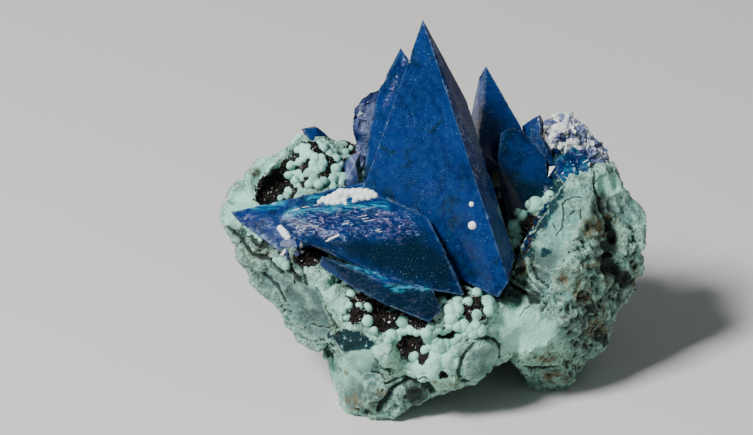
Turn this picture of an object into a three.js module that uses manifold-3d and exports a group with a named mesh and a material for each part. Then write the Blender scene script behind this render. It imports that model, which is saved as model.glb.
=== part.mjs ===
// A mineral specimen: steep blue crystals grown on a broken piece of pale green rock.
// Millimetres, +Z up. The rock rests on the plane z = 0 and its front, where the tallest crystal
// stands, looks along -Y. The finished part is moved so that x = y = 0 is on its resting face.
import * as THREE from 'three';
import { ConvexGeometry } from 'three/addons/geometries/ConvexGeometry.js';
import * as BufferGeometryUtils from 'three/addons/utils/BufferGeometryUtils.js';
import { ImprovedNoise } from 'three/addons/math/ImprovedNoise.js';
import Module from 'manifold-3d';

const wasm = await Module();
wasm.setup();

// ---- driving dimensions -----------------------------------------------------------------------
const CLEARANCE = 0.32;           // open line between a crystal and its socket in the rock
const LONGEST_SIDE = 4.4;         // sides of the rock's facets longer than this are halved
const SPLITS = 2;                 // how many times that is done
const LUMP_HEIGHT = 0.9;          // how far the rock's broad lumps rise and sink
const LUMP_LENGTH = 4.7;          // from one broad lump to the next
const RIDGE_HEIGHT = 0.55;        // how far its crests stand above the troughs between them
const RIDGE_LENGTH = 3.1;         // from one crest to the next
const VIEW_TILT = THREE.MathUtils.degToRad(27);   // slope of the line along which crust is set
const BEYOND = 90;                // how wide the space is that a break clears
const BIG_BALL = 0.89;            // crust balls of this radius and more are rounder
const ON_THE_FACE = [2, 3, 0];     // a point of the resting face, which becomes the origin

// The rock is four lobes grown into one. Every part of a lobe's skin faces its heart; the corners
// are those of its broken outline, and some of them lie inside the next lobe.
const LOBES = {
  body: {
    heart: [-1, 5, 11],
    corners: [[-9, 9, 23.4], [-3, 10, 22], [3, 9, 21.6], [8, 8, 21.6], [9, 2, 19.4], [7, -3, 18],
      [0, -1, 18.4], [-7, -3, 19.4], [-12, -4, 20.4], [-13, 2, 22.4], [-13.4, 7, 23.6],
      [-12, 15.6, 25], [-5.6, 16.4, 23.4], [2, 17.8, 25.6], [8, 15.6, 24], [12.6, 14, 26.8],
      [-16, 13, 20], [-12.6, 17, 17.8], [-9.4, 18.4, 13], [-3, 18, 18], [0.6, 20, 15.4],
      [7.4, 18, 17.6], [14, 17.4, 19], [16.4, 12, 14], [-17.6, 11.4, 10.8], [-15, 14.4, 6],
      [-7.6, 16, 7], [-2.4, 17, 9.4], [3.6, 17.8, 6.4], [10.6, 14.6, 8.4], [15.6, 11, 6],
      [-11.4, 9.4, -0.4], [-4, 12.6, -0.5], [5, 13, -0.5], [12.6, 9.6, -0.4], [-14.6, 3, 0.4],
      [-16.6, -2.4, 6.6], [-14, -3.4, -0.3], [-19, 4, 8], [-4, -0.6, -2.4], [3, 4, -2.4],
      [6.4, 8, -2.4], [10.4, 7.4, -2.4], [-4, 6, -2.4], [6.4, 2, 3.4], [5, -4, 7], [-8, -8, 9],
      [-15.6, -7, 12], [2, -7, 14]],
  },
  front: {
    heart: [-4.4, -6.6, 9.4],
    corners: [[-10.1, -10.6, -0.2], [-12.5, -9.3, 0.4], [-6.9, -9.8, -0.3], [-13.2, -8.2, 2.4],
      [-5.3, -10.5, 2.3], [-2.2, -10.5, 4.4], [0.6, -10.3, 4.6], [3.1, -9.4, 4.8],
      [5, -8, 6.2], [-13.4, -10, 6.6], [-10, -12.4, 5.6], [-8, -11.4, 7.4], [-6.3, -12.3, 5.4],
      [-2.6, -12.8, 7.8], [1.2, -12, 7.2], [3.6, -12, 9.6], [6.4, -6.2, 6.6], [-14, -11, 13],
      [-11.2, -12.9, 12.2], [-8.6, -12.9, 10.8], [-4.8, -12.4, 10.2], [-1.2, -13.2, 11.6],
      [3.2, -12.4, 12.2], [6.2, -10.2, 11], [9.2, -9, 13], [9.2, -8.4, 9.6], [7.4, -7.8, 7.6],
      [9.4, -5, 14], [-6.9, -11.6, 15.4], [-2.4, -12.6, 13.6],
      [-0.1, -11.4, 16.2], [2.3, -8.5, 17.6], [4, -10.2, 16], [6.6, -8.6, 15.4],
      [-14.8, -10.5, 15.1], [-15.8, -9.8, 17.8], [-12.6, -11.6, 16.6], [-14.2, -8.6, 7.2],
      [-15.6, -7.8, 10.4], [-13.6, -5, 17], [-6, -6, 17.6], [2, -4, 14], [6, -4, 9.6],
      [2, -3.6, 4], [-4, -4, -0.8], [-13, -3.4, 1], [-9, -6, -0.9], [-13.6, -4, 8]],
  },
  left: {
    heart: [-19, 3.4, 20],
    corners: [[-28.9, 0.6, 23.4], [-28.1, -0.8, 21.7], [-26.9, -1.4, 20.8], [-25.1, -3, 17.3],
      [-24.8, -3.5, 15.8], [-22.3, -4.5, 14], [-20.8, -5, 12.3], [-19.3, -5, 9.2],
      [-16.1, -7.6, 8.3], [-23.4, -4.6, 18.4], [-19.9, -7, 18], [-22.4, -4.6, 20.4],
      [-18.6, -7.6, 20.4], [-17.4, -8.5, 15.6], [-15.4, -9.4, 13.4], [-15.6, -8.6, 18.4],
      [-27.8, 3.6, 23.2], [-27.3, 5, 24.9], [-25.2, 6, 25.8], [-23.4, 8, 27.7],
      [-21.3, 9.4, 28.3], [-18.9, 11, 29.3], [-16.4, 11, 29.1], [-14.3, 11, 27.4],
      [-13, 10.4, 26], [-12.8, 12.4, 27.6], [-11.4, 13, 26.8], [-14.4, 12.6, 27],
      [-24.4, 3, 23.8], [-22, 4.6, 23.6], [-20.8, 7.8, 26], [-19, 6, 26.2],
      [-16.8, 5, 26], [-14.8, 6, 25.8], [-17, 8, 28.4], [-17, 2, 23.4], [-12, 2, 22],
      [-27, 7.6, 20.6], [-24.4, 10.6, 24], [-20, 13.4, 25.4], [-14, 14.6, 25], [-23, 13, 19.4],
      [-24.6, 8, 14.6], [-19.4, 12.6, 13], [-13, 8, 12], [-19.6, 4, 8.4], [-11, -2, 14]],
  },
  right: {
    heart: [14.4, 3.4, 14],
    corners: [[12.2, 8.6, 28], [15.4, 2.6, 27.2], [13.4, 0, 25.4], [9.4, -3, 21.6],
      [10.6, -6.6, 16.8], [15, -6.6, 18.6], [12, -4.6, 21.4], [15.4, -4.4, 23],
      [17.4, -1, 25.6], [18.9, 4.6, 27.4], [20.9, 6, 26.1], [19.4, 0.4, 21.4],
      [17.8, -3.9, 19.4], [18, -3.7, 15], [21.3, -0.4, 19.4], [20.4, -0.8, 15.4],
      [23.1, 5, 23.1], [25, 3, 20.3], [23.8, 2, 17.4], [24.6, 2, 14.9], [23.9, 1.5, 12.3],
      [21.9, 1, 10], [20.4, 0, 7.2], [19.9, 0, 4.5], [17.3, -1, 2.8], [16.2, -1.5, 1.8],
      [14.5, -2.5, -0.2], [12, -3, -0.3], [10.3, -3.5, 1.3], [8.6, -4.6, 4.2],
      [7.6, -5, 6.8], [9, -9, 8.8], [12, -8.8, 9.4], [8.2, -9.5, 13.2], [13.7, -7.5, 12],
      [13.9, -5, 4.8], [17.6, -4, 10.2], [17, -3, 6], [9.8, 0, 20.8], [10.8, 4, 22.4],
      [6, 4, 14], [7, -4, 14], [9, 3.4, 1.4], [13, 5, -2], [17.2, 4.6, 0.3], [22.8, 9.4, 22],
      [23.4, 8.4, 15.4], [21.6, 7.6, 9.6], [19, 13, 17], [18, 13.4, 26.4], [20.6, 10, 26.2],
      [13.4, 13.4, 27.4], [14, 11, 10]],
  },
};

// Flat breaks: the rock ends at each of these planes. The first is the face that it rests on.
const BREAKS = [
  { through: [0, 0, 0], facing: [0, 0, -1] },
  { through: [2, 18.2, 12], facing: [0.12, 1, -0.1] },
  { through: [21.6, 9.4, 14], facing: [0.82, 0.56, 0.08] },
  { through: [-20.4, 12.2, 14], facing: [-0.55, 0.62, -0.56] },
];

// ---- corners of the crystals ------------------------------------------------------------------
const TALL_SPIRE = [[-3.5, 3.5, 48.6], [-10.5, 1, 27.7], [-12.5, 0.3, 21.8], [0.4, -6.1, 20.2],
  [5.8, -9.5, 16.9], [7.1, -9.3, 18.9], [7.9, -5.6, 20.6], [-1.2, 4.6, 43.6], [2, 3.4, 37.6],
  [3.4, 5, 26], [2, 6.4, 21], [-7, 8.6, 23], [-2.8, 6.2, 41], [0, -3.6, 15.4]];
const BACK_BLADE = [[-6.2, 7, 43.2], [-8.1, 6.5, 39.3], [-9, 6.5, 37.5], [-10.4, 5, 30.2],
  [-10.9, 4, 26], [-8.4, 9.6, 24], [-4.6, 8.4, 39], [-2, 8.8, 26], [-3.4, 4, 40], [-6, 3, 26]];
const UPPER_BLADE = [[-27.4, -0.5, 24.1], [-10.5, 2, 27.2], [-6, 2, 28.1], [-26.2, -1.8, 23.3],
  [-21.5, -4.6, 21], [-8.6, -0.2, 26.2], [-14, -4, 22], [-21, 2.2, 23], [-9, 4, 23.6],
  [-6, -1, 20]];
const FRONT_BLADE = [[-20.6, -5.5, 26.5], [-21.1, -6, 25.5], [-19.9, -7, 24.2], [-18, -8, 23.8],
  [-14.9, -9, 23.3], [-8.6, -10.6, 20.2], [-2.5, -11.4, 18.9], [1.6, -10.4, 17.6],
  [0.3, -8.6, 20.5], [-0.8, -7.9, 22.5], [-2.9, -4.6, 25.5], [-8.6, -1.2, 26.6],
  [-19, -4.6, 23.4], [-6, 0.6, 24.6], [-1.8, -2, 22], [0.6, -5.4, 18.6], [-13.7, -8.7, 25]];
const LOW_BLADE = [[-15.9, -9.5, 22.6], [-16.3, -9.6, 21.3], [-12.1, -11.2, 19.2],
  [-7.9, -12.6, 17.4], [-2.8, -13.2, 15.4], [-1.1, -12.3, 16.3], [-2.2, -11.6, 19],
  [-7.9, -11.6, 19.9], [-13, -8.4, 20.4], [-4, -9.4, 16.4], [-8, -9, 18.6]];
const RIGHT_SPIRE = [[4.6, 12, 38.4], [3.8, 12.8, 36.6], [4.3, 10, 34.6], [3.6, 7.8, 28.6],
  [4.6, 7.4, 20], [8.9, 9, 31.6], [13.2, 7.4, 22], [2.6, 13.2, 29.6], [3, 12.8, 21],
  [9.2, 12.8, 21.4], [6.6, 13.2, 33]];
const DARK_BLOCK = [[6.4, 6, 31.9], [7.1, 6, 32.4], [8, 6.4, 32.5], [9.5, 7, 31.5],
  [10.3, 6, 29.8], [6, 4.6, 29], [7.6, 2.6, 20], [11, 2.4, 20], [12.8, 4, 22.6],
  [12.1, 6, 28.2], [7, 9, 20], [12, 9, 22], [6, 8, 30]];
const SIDE_BLOCK = [[10.2, 6.4, 31], [11.4, 6.6, 31.1], [12.6, 7, 29.6], [13.6, 6, 26.2],
  [9.6, 8, 26], [13.4, 9.4, 26], [10.4, 9.4, 31]];
const PURPLE_POINT = [[11.4, 10, 32.7], [9.2, 10, 31], [12, 10.6, 31.2], [11.4, 8, 30.8],
  [9.4, 12, 27], [12.6, 11, 27], [10, 8.4, 27]];
const REAR_SHARD = [[-9, 9.4, 36.3], [-9.9, 9.6, 35.9], [-11.1, 9.7, 34.9], [-12.2, 9.8, 33],
  [-12, 10, 29.6], [-11.4, 11, 24.4], [-8.2, 13, 25], [-7.2, 11.6, 34], [-6.4, 11, 26],
  [-10.6, 9.9, 26.4]];
const LAVENDER_SHARD = [[-13.3, 9, 26.4], [-12.6, 6.8, 28.4], [-11.9, 5.4, 28], [-11.4, 5.2, 25.4],
  [-13.6, 6.4, 24], [-11.2, 8.2, 28.3], [-12, 9.8, 24]];
const KNOB = [[-18.8, 11.4, 29.9], [-18.5, 10.6, 30.3], [-16.6, 10.8, 30.4], [-15.3, 11, 29.1],
  [-17.3, 9.8, 28.7], [-17, 12.6, 29.8], [-17.6, 11, 27.6], [-15.8, 12, 28]];
const RIM_SHARDS = [
  [[12, 10, 31.4], [12.8, 10.6, 32], [13.9, 11, 32.5], [14.6, 9, 31.2], [12.6, 8.4, 28],
    [14.6, 12.6, 27], [16, 10, 27.4], [15.4, 11, 32.2]],
  [[15, 10.6, 32], [16.6, 11, 31.2], [17.7, 10.8, 30.2], [17, 7.6, 28], [14.4, 8, 27.6],
    [18.6, 11.6, 26.6], [15.4, 13, 26.6], [15.6, 8.6, 31]],
  [[17.6, 10.6, 30.2], [19.2, 10.2, 28.9], [20.2, 9.6, 27.7], [20, 7.4, 26.4], [17, 8, 26.4],
    [20, 11, 25.4], [17.4, 8, 29.2]],
  [[15.4, 5.6, 30.2], [13.2, 4.2, 29], [13.4, 3.6, 27], [14.6, 2.8, 26.2], [16.7, 3, 26],
    [17.7, 4.6, 28.2], [17.2, 6, 29.6], [14, 8, 26.4], [17.4, 8, 26.4]],
];

// ---- pits and crust: across, up (both square to the sloping line of sight), radius ------------
const PITS = [
  [-22, 24, 2.1], [-20.8, 25.2, 1.7],                // the cavity behind the left rim
  [-17.2, 16.6, 1.7],                                // under the broken end of the blade
  [-6.6, 8.8, 2.3], [-8.8, 10.2, 1.7],               // the dark druse under the low blade
  [-4.7, 4.1, 2], [-0.5, 5.7, 1.2],                  // the round pits in front
  [20.4, 17.4, 1.6], [20, 15, 1.5],                  // the crevice down the right wall
  [8.2, 17.2, 1.6],                                  // the gallery by the tall crystal
];
const FRONT_CRUST = [
  [-10.6, 9.3, 0.88], [-10.3, 7.6, 0.75], [-9.6, 6.5, 0.55], [-6, 7.6, 0.75], [-7.5, 5.9, 0.75],
  [-5.6, 5.7, 0.6], [-4.6, 6.2, 0.55], [-2.9, 6.1, 0.88], [-4.6, 3.1, 0.72], [-3, 4.1, 0.6],
  [-1.1, 4.5, 1.25], [2.4, 13.1, 0.75], [2.3, 12, 0.85], [3.4, 11, 0.7], [-1.1, 9.9, 0.82],
  [0.9, 10.3, 0.75], [2.1, 10, 0.62], [4.8, 10.1, 0.88], [3.3, 8.4, 0.7], [0.4, 9, 0.6],
  [0.1, 8, 0.62], [1.6, 7.5, 0.75], [0.8, 6.9, 0.6], [-3.1, 6.3, 0.8], [-2.6, 7.3, 0.6],
  [-1.3, 6.4, 0.7], [-0.2, 6.3, 0.7], [0.6, 5.4, 0.75], [2, 6, 0.7], [2.9, 6.8, 0.6],
  [-12.4, 11, 0.6], [-11.5, 11.4, 0.55], [-6.6, 4.9, 0.62], [-5.9, 3.4, 0.55], [-2.2, 3.1, 0.7],
  [0.5, 3.6, 0.62],
];
const DISC_CRUST = [[3.6, 3.2, 2], [3.2, 1.2, 1.3]];
const MOUND_CRUST = [
  [-18.4, 30.2, 0.75], [-17.1, 29.9, 0.8], [-15.9, 29.9, 0.75], [-15, 29.3, 0.7],
  [-19.3, 29, 0.7], [-18.2, 28.7, 0.85], [-16.9, 28.5, 0.85], [-15.7, 28.4, 0.8],
  [-14.6, 28, 0.7], [-19.9, 27.7, 0.7], [-18.9, 27.4, 0.8], [-17.6, 27.2, 0.9],
  [-16.3, 27, 0.85], [-15, 26.8, 0.8], [-13.9, 26.7, 0.65], [-19.6, 26.3, 0.75],
  [-18.3, 25.9, 0.8], [-17, 25.7, 0.85], [-15.6, 25.5, 0.85], [-14.3, 25.4, 0.75],
  [-19, 24.9, 0.65], [-17.7, 24.5, 0.7], [-16.2, 24.2, 0.7], [-14.8, 24.1, 0.65],
  [-13.2, 28.6, 0.6], [-12.4, 28.4, 0.6],
];
const GALLERY_CRUST = [[10.5, 22.3, 1.2], [11.7, 22.4, 0.8], [8.9, 21, 0.75], [7.9, 19.5, 0.85],
  [9.4, 19.4, 0.7], [8.6, 18, 0.7]];
const BACK_CRUST = [[-16, 12.1, 1.1], [-14.4, 10.8, 0.85], [-17.2, 10.6, 0.8], [3, 4, 1.2],
  [4.8, 3.2, 0.85], [2, 2.6, 0.8], [19.6, 13.4, 0.85], [20.6, 12, 0.8]];
const BLADE_CRUST = [
  [-15.4, 23.4, 0.6], [-14.4, 23.6, 0.7], [-13.3, 23.7, 0.8], [-12.2, 23.7, 0.75],
  [-11, 23.7, 0.75], [-9.9, 23.6, 0.65], [-13.6, 23, 0.55], [-12.2, 22.8, 0.5], [-10.6, 23, 0.5],
];
const SPIRE_CRUST = [[2.7, 22.25, 0.36], [2.8, 19.6, 0.57]];
const BROKEN_END_CRUST = [[-20.9, 18.8, 0.6]];

// ---- solids -----------------------------------------------------------------------------------
const vector = (p) => new THREE.Vector3(...p);

// A three.js geometry as a solid that can be joined and cut.
function solid(geometry) {
  const bare = geometry.clone();
  bare.deleteAttribute('normal');
  bare.deleteAttribute('uv');
  const merged = BufferGeometryUtils.mergeVertices(bare, 1e-4);
  return new wasm.Manifold(new wasm.Mesh({
    numProp: 3,
    vertProperties: new Float32Array(merged.attributes.position.array),
    triVerts: new Uint32Array(merged.index.array),
  }));
}

// The reverse: a solid as a three.js geometry.
function geometryOf(piece) {
  const mesh = piece.getMesh();
  const geometry = new THREE.BufferGeometry();
  geometry.setAttribute('position', new THREE.BufferAttribute(mesh.vertProperties, 3));
  geometry.setIndex(new THREE.BufferAttribute(mesh.triVerts, 1));
  return geometry;
}

const joined = (solids) => solids.reduce((sum, next) => sum.add(next));

// A flat-faced crystal is the hull of its corners.
const crystal = (corners) => solid(new ConvexGeometry(corners.map(vector)));

// The socket for a crystal is the hull of its corners, each grown to a small cube.
function socket(corners) {
  const grown = [];
  for (const corner of corners) {
    for (let octant = 0; octant < 8; octant += 1) {
      const step = [octant & 1, octant & 2, octant & 4].map((bit) => (bit ? CLEARANCE : -CLEARANCE));
      grown.push(vector(corner).add(vector(step)));
    }
  }
  return solid(new ConvexGeometry(grown));
}

// ---- rock -------------------------------------------------------------------------------------
const noise = new ImprovedNoise();
const noiseAt = (point, length) => noise.noise(point.x / length, point.y / length, point.z / length);

// The facets between a lobe's corners: the hull of their directions from the heart says which
// three corners belong together.
function lobeFacets(heart, corners) {
  const directions = corners.map((corner) => corner.clone().sub(heart).normalize());
  const hull = new ConvexGeometry(directions).attributes.position;
  const nearest = (direction) => {
    const gaps = directions.map((other) => other.distanceToSquared(direction));
    return corners[gaps.indexOf(Math.min(...gaps))];
  };
  const facets = [];
  for (let i = 0; i < hull.count; i += 3) {
    facets.push([0, 1, 2].map((k) => nearest(new THREE.Vector3().fromBufferAttribute(hull, i + k))));
  }
  return facets;
}

// A facet with long sides is parted in a fan over the middles of those sides.
function parted(facet) {
  const ring = facet.flatMap((corner, k) => {
    const next = facet[(k + 1) % 3];
    const long = corner.distanceTo(next) > LONGEST_SIDE;
    return long ? [corner, corner.clone().lerp(next, 0.5)] : [corner];
  });
  if (ring.length === 3) return [facet];
  const start = ring.findIndex((point) => !facet.includes(point));
  const turned = [...ring.slice(start), ...ring.slice(0, start)];
  return turned.slice(2).map((point, k) => [turned[0], turned[k + 1], point]);
}

// Lumps and ridges move a point of the skin along its line from the heart.
function weathered(point, heart) {
  const outward = point.clone().sub(heart).normalize();
  const ridge = 1 - 2 * Math.abs(noiseAt(point, RIDGE_LENGTH));
  const rise = LUMP_HEIGHT * noiseAt(point, LUMP_LENGTH) + RIDGE_HEIGHT * (ridge - 0.5);
  return point.clone().addScaledVector(outward, rise);
}

function lobe({ heart, corners }) {
  const middle = vector(heart);
  let facets = lobeFacets(middle, corners.map(vector));
  for (let i = 0; i < SPLITS; i += 1) facets = facets.flatMap(parted);
  const points = facets.flat().map((point) => weathered(point, middle));
  return solid(new THREE.BufferGeometry().setFromPoints(points));
}

// The block of space beyond a break.
function beyond({ through, facing }) {
  const block = new THREE.BoxGeometry(BEYOND, BEYOND, BEYOND).translate(0, 0, BEYOND / 2);
  const outward = vector(facing).normalize();
  const turn = new THREE.Quaternion().setFromUnitVectors(new THREE.Vector3(0, 0, 1), outward);
  return solid(block.applyQuaternion(turn).translate(...through));
}

// ---- crust ------------------------------------------------------------------------------------
const FAR_AWAY = 100;
const BALL_SINK = 0.25;   // share of a ball's radius by which its middle lies under the surface
const PIT_SINK = -0.3;    // a pit's middle lies above the surface, so the pit is shallower
const FRONT = 1;
const BACK = -1;

// A ball's middle: a sloping line of sight, from the front or the back, meets the surface and
// goes a little further.
function seat([across, up, radius], sink, side, surface) {
  const sight = new THREE.Vector3(0, side * Math.cos(VIEW_TILT), -Math.sin(VIEW_TILT));
  const rise = new THREE.Vector3(0, side * Math.sin(VIEW_TILT), Math.cos(VIEW_TILT));
  const start = new THREE.Vector3(across, 0, 0).addScaledVector(rise, up);
  start.addScaledVector(sight, -FAR_AWAY);
  const [hit] = new THREE.Raycaster(start, sight).intersectObject(surface);
  return hit.point.addScaledVector(sight, sink * radius);
}

function ball(middle, radius) {
  const round = radius >= BIG_BALL
    ? new THREE.IcosahedronGeometry(radius, 1) : new THREE.OctahedronGeometry(radius, 1);
  round.rotateX(middle.x).rotateY(middle.z);
  return solid(round.translate(middle.x, middle.y, middle.z));
}

function balls(spots, geometry, sink = BALL_SINK, side = FRONT) {
  const surface = new THREE.Mesh(geometry, new THREE.MeshBasicMaterial({ side: THREE.DoubleSide }));
  return spots.map((spot) => ball(seat(spot, sink, side, surface), spot[2]));
}

// ---- pieces -----------------------------------------------------------------------------------
const LEADING = [TALL_SPIRE, BACK_BLADE, UPPER_BLADE, FRONT_BLADE, LOW_BLADE];
const RIGHT = [RIGHT_SPIRE, DARK_BLOCK, SIDE_BLOCK, PURPLE_POINT];
const REAR = [REAR_SHARD];

function leadingCrystals() {
  const bare = joined(LEADING.map(crystal));
  const spots = [...BLADE_CRUST, ...SPIRE_CRUST, ...BROKEN_END_CRUST];
  return joined([bare, ...balls(spots, geometryOf(bare))]);
}

function matrix() {
  const whole = joined(Object.values(LOBES).map(lobe));
  const rock = whole.subtract(joined(balls(PITS, geometryOf(whole), PIT_SINK)));
  const surface = geometryOf(rock);
  const spots = [...FRONT_CRUST, ...DISC_CRUST, ...MOUND_CRUST, ...GALLERY_CRUST];
  const backBalls = balls(BACK_CRUST, surface, BALL_SINK, BACK);
  const grown = joined([rock, ...balls(spots, surface), ...backBalls]);
  const sockets = [...LEADING, ...RIGHT, ...REAR, ...RIM_SHARDS, KNOB, LAVENDER_SHARD].map(socket);
  return grown.subtract(joined([...sockets, ...BREAKS.map(beyond)]));
}

const BLUE = { color: 0x0b3d8c, roughness: 0.25, metalness: 0 };
const PIECES = [
  ['matrix', matrix(), { color: 0xa9c4b4, roughness: 0.9, metalness: 0 }],
  ['leading_crystals', leadingCrystals(), BLUE],
  ['right_crystals', joined(RIGHT.map(crystal)), BLUE],
  ['rim_crystals', joined(RIM_SHARDS.map(crystal)), { ...BLUE, color: 0x9aa3cc }],
  ['rear_crystal', joined(REAR.map(crystal)), { ...BLUE, color: 0x6a6fa8 }],
  ['lavender_crystal', crystal(LAVENDER_SHARD), { ...BLUE, color: 0x8f8fc0 }],
  ['knob_crystal', crystal(KNOB), BLUE],
];

const specimen = new THREE.Group();
specimen.position.fromArray(ON_THE_FACE).negate();
for (const [name, piece, finish] of PIECES) {
  const mesh = new THREE.Mesh(geometryOf(piece), new THREE.MeshStandardMaterial(finish));
  mesh.name = name;
  specimen.add(mesh);
}

export default specimen;
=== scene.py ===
"""A mineral specimen dressed for looks: steep blue crystals on pale green rock with a white crust.

Shapes are worked out in millimetres, in the frame that the corners below were measured in. The
point ORIGIN of that frame is the part's origin; put() moves each finished shape there, in metres.
"""

import bmesh
import bpy
import numpy as np
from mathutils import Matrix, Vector
from mathutils.bvhtree import BVHTree


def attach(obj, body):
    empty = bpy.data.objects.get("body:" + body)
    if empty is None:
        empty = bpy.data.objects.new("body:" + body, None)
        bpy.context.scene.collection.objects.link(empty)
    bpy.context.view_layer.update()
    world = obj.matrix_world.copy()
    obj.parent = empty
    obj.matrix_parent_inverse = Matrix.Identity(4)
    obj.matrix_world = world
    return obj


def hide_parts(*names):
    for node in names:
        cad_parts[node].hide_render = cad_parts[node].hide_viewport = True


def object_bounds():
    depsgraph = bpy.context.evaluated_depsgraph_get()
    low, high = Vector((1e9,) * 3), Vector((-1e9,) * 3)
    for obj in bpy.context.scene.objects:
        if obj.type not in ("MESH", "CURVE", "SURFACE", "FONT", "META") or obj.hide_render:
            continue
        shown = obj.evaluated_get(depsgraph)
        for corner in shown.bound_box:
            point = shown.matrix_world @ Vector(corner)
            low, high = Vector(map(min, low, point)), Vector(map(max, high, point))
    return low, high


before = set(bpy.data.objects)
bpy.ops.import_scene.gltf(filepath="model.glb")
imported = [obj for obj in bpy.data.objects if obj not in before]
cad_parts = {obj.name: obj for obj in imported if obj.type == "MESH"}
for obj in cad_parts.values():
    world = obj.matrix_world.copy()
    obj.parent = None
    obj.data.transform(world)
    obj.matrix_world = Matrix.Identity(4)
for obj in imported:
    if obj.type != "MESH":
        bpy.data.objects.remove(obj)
cad_low, cad_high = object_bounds()

# ---- frame ----------------------------------------------------------------------------------
MM = 0.001
ORIGIN = np.array([2.0, 3.0, 0.0])
SLOPE = np.radians(27)                       # the specimen is seen from this much above level
SIGHT = np.array([0, np.cos(SLOPE), -np.sin(SLOPE)])
RISE = np.array([0, np.sin(SLOPE), np.cos(SLOPE)])
TARGET = np.array([-9.2, 0.0, 23.1])         # the point in the middle of the view
DISTANCE = 480.0                             # from the eye to that point
EYE = TARGET - SIGHT * DISTANCE
FOCAL_LENGTH = 183.6                         # of a 36 mm wide lens opening

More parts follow.
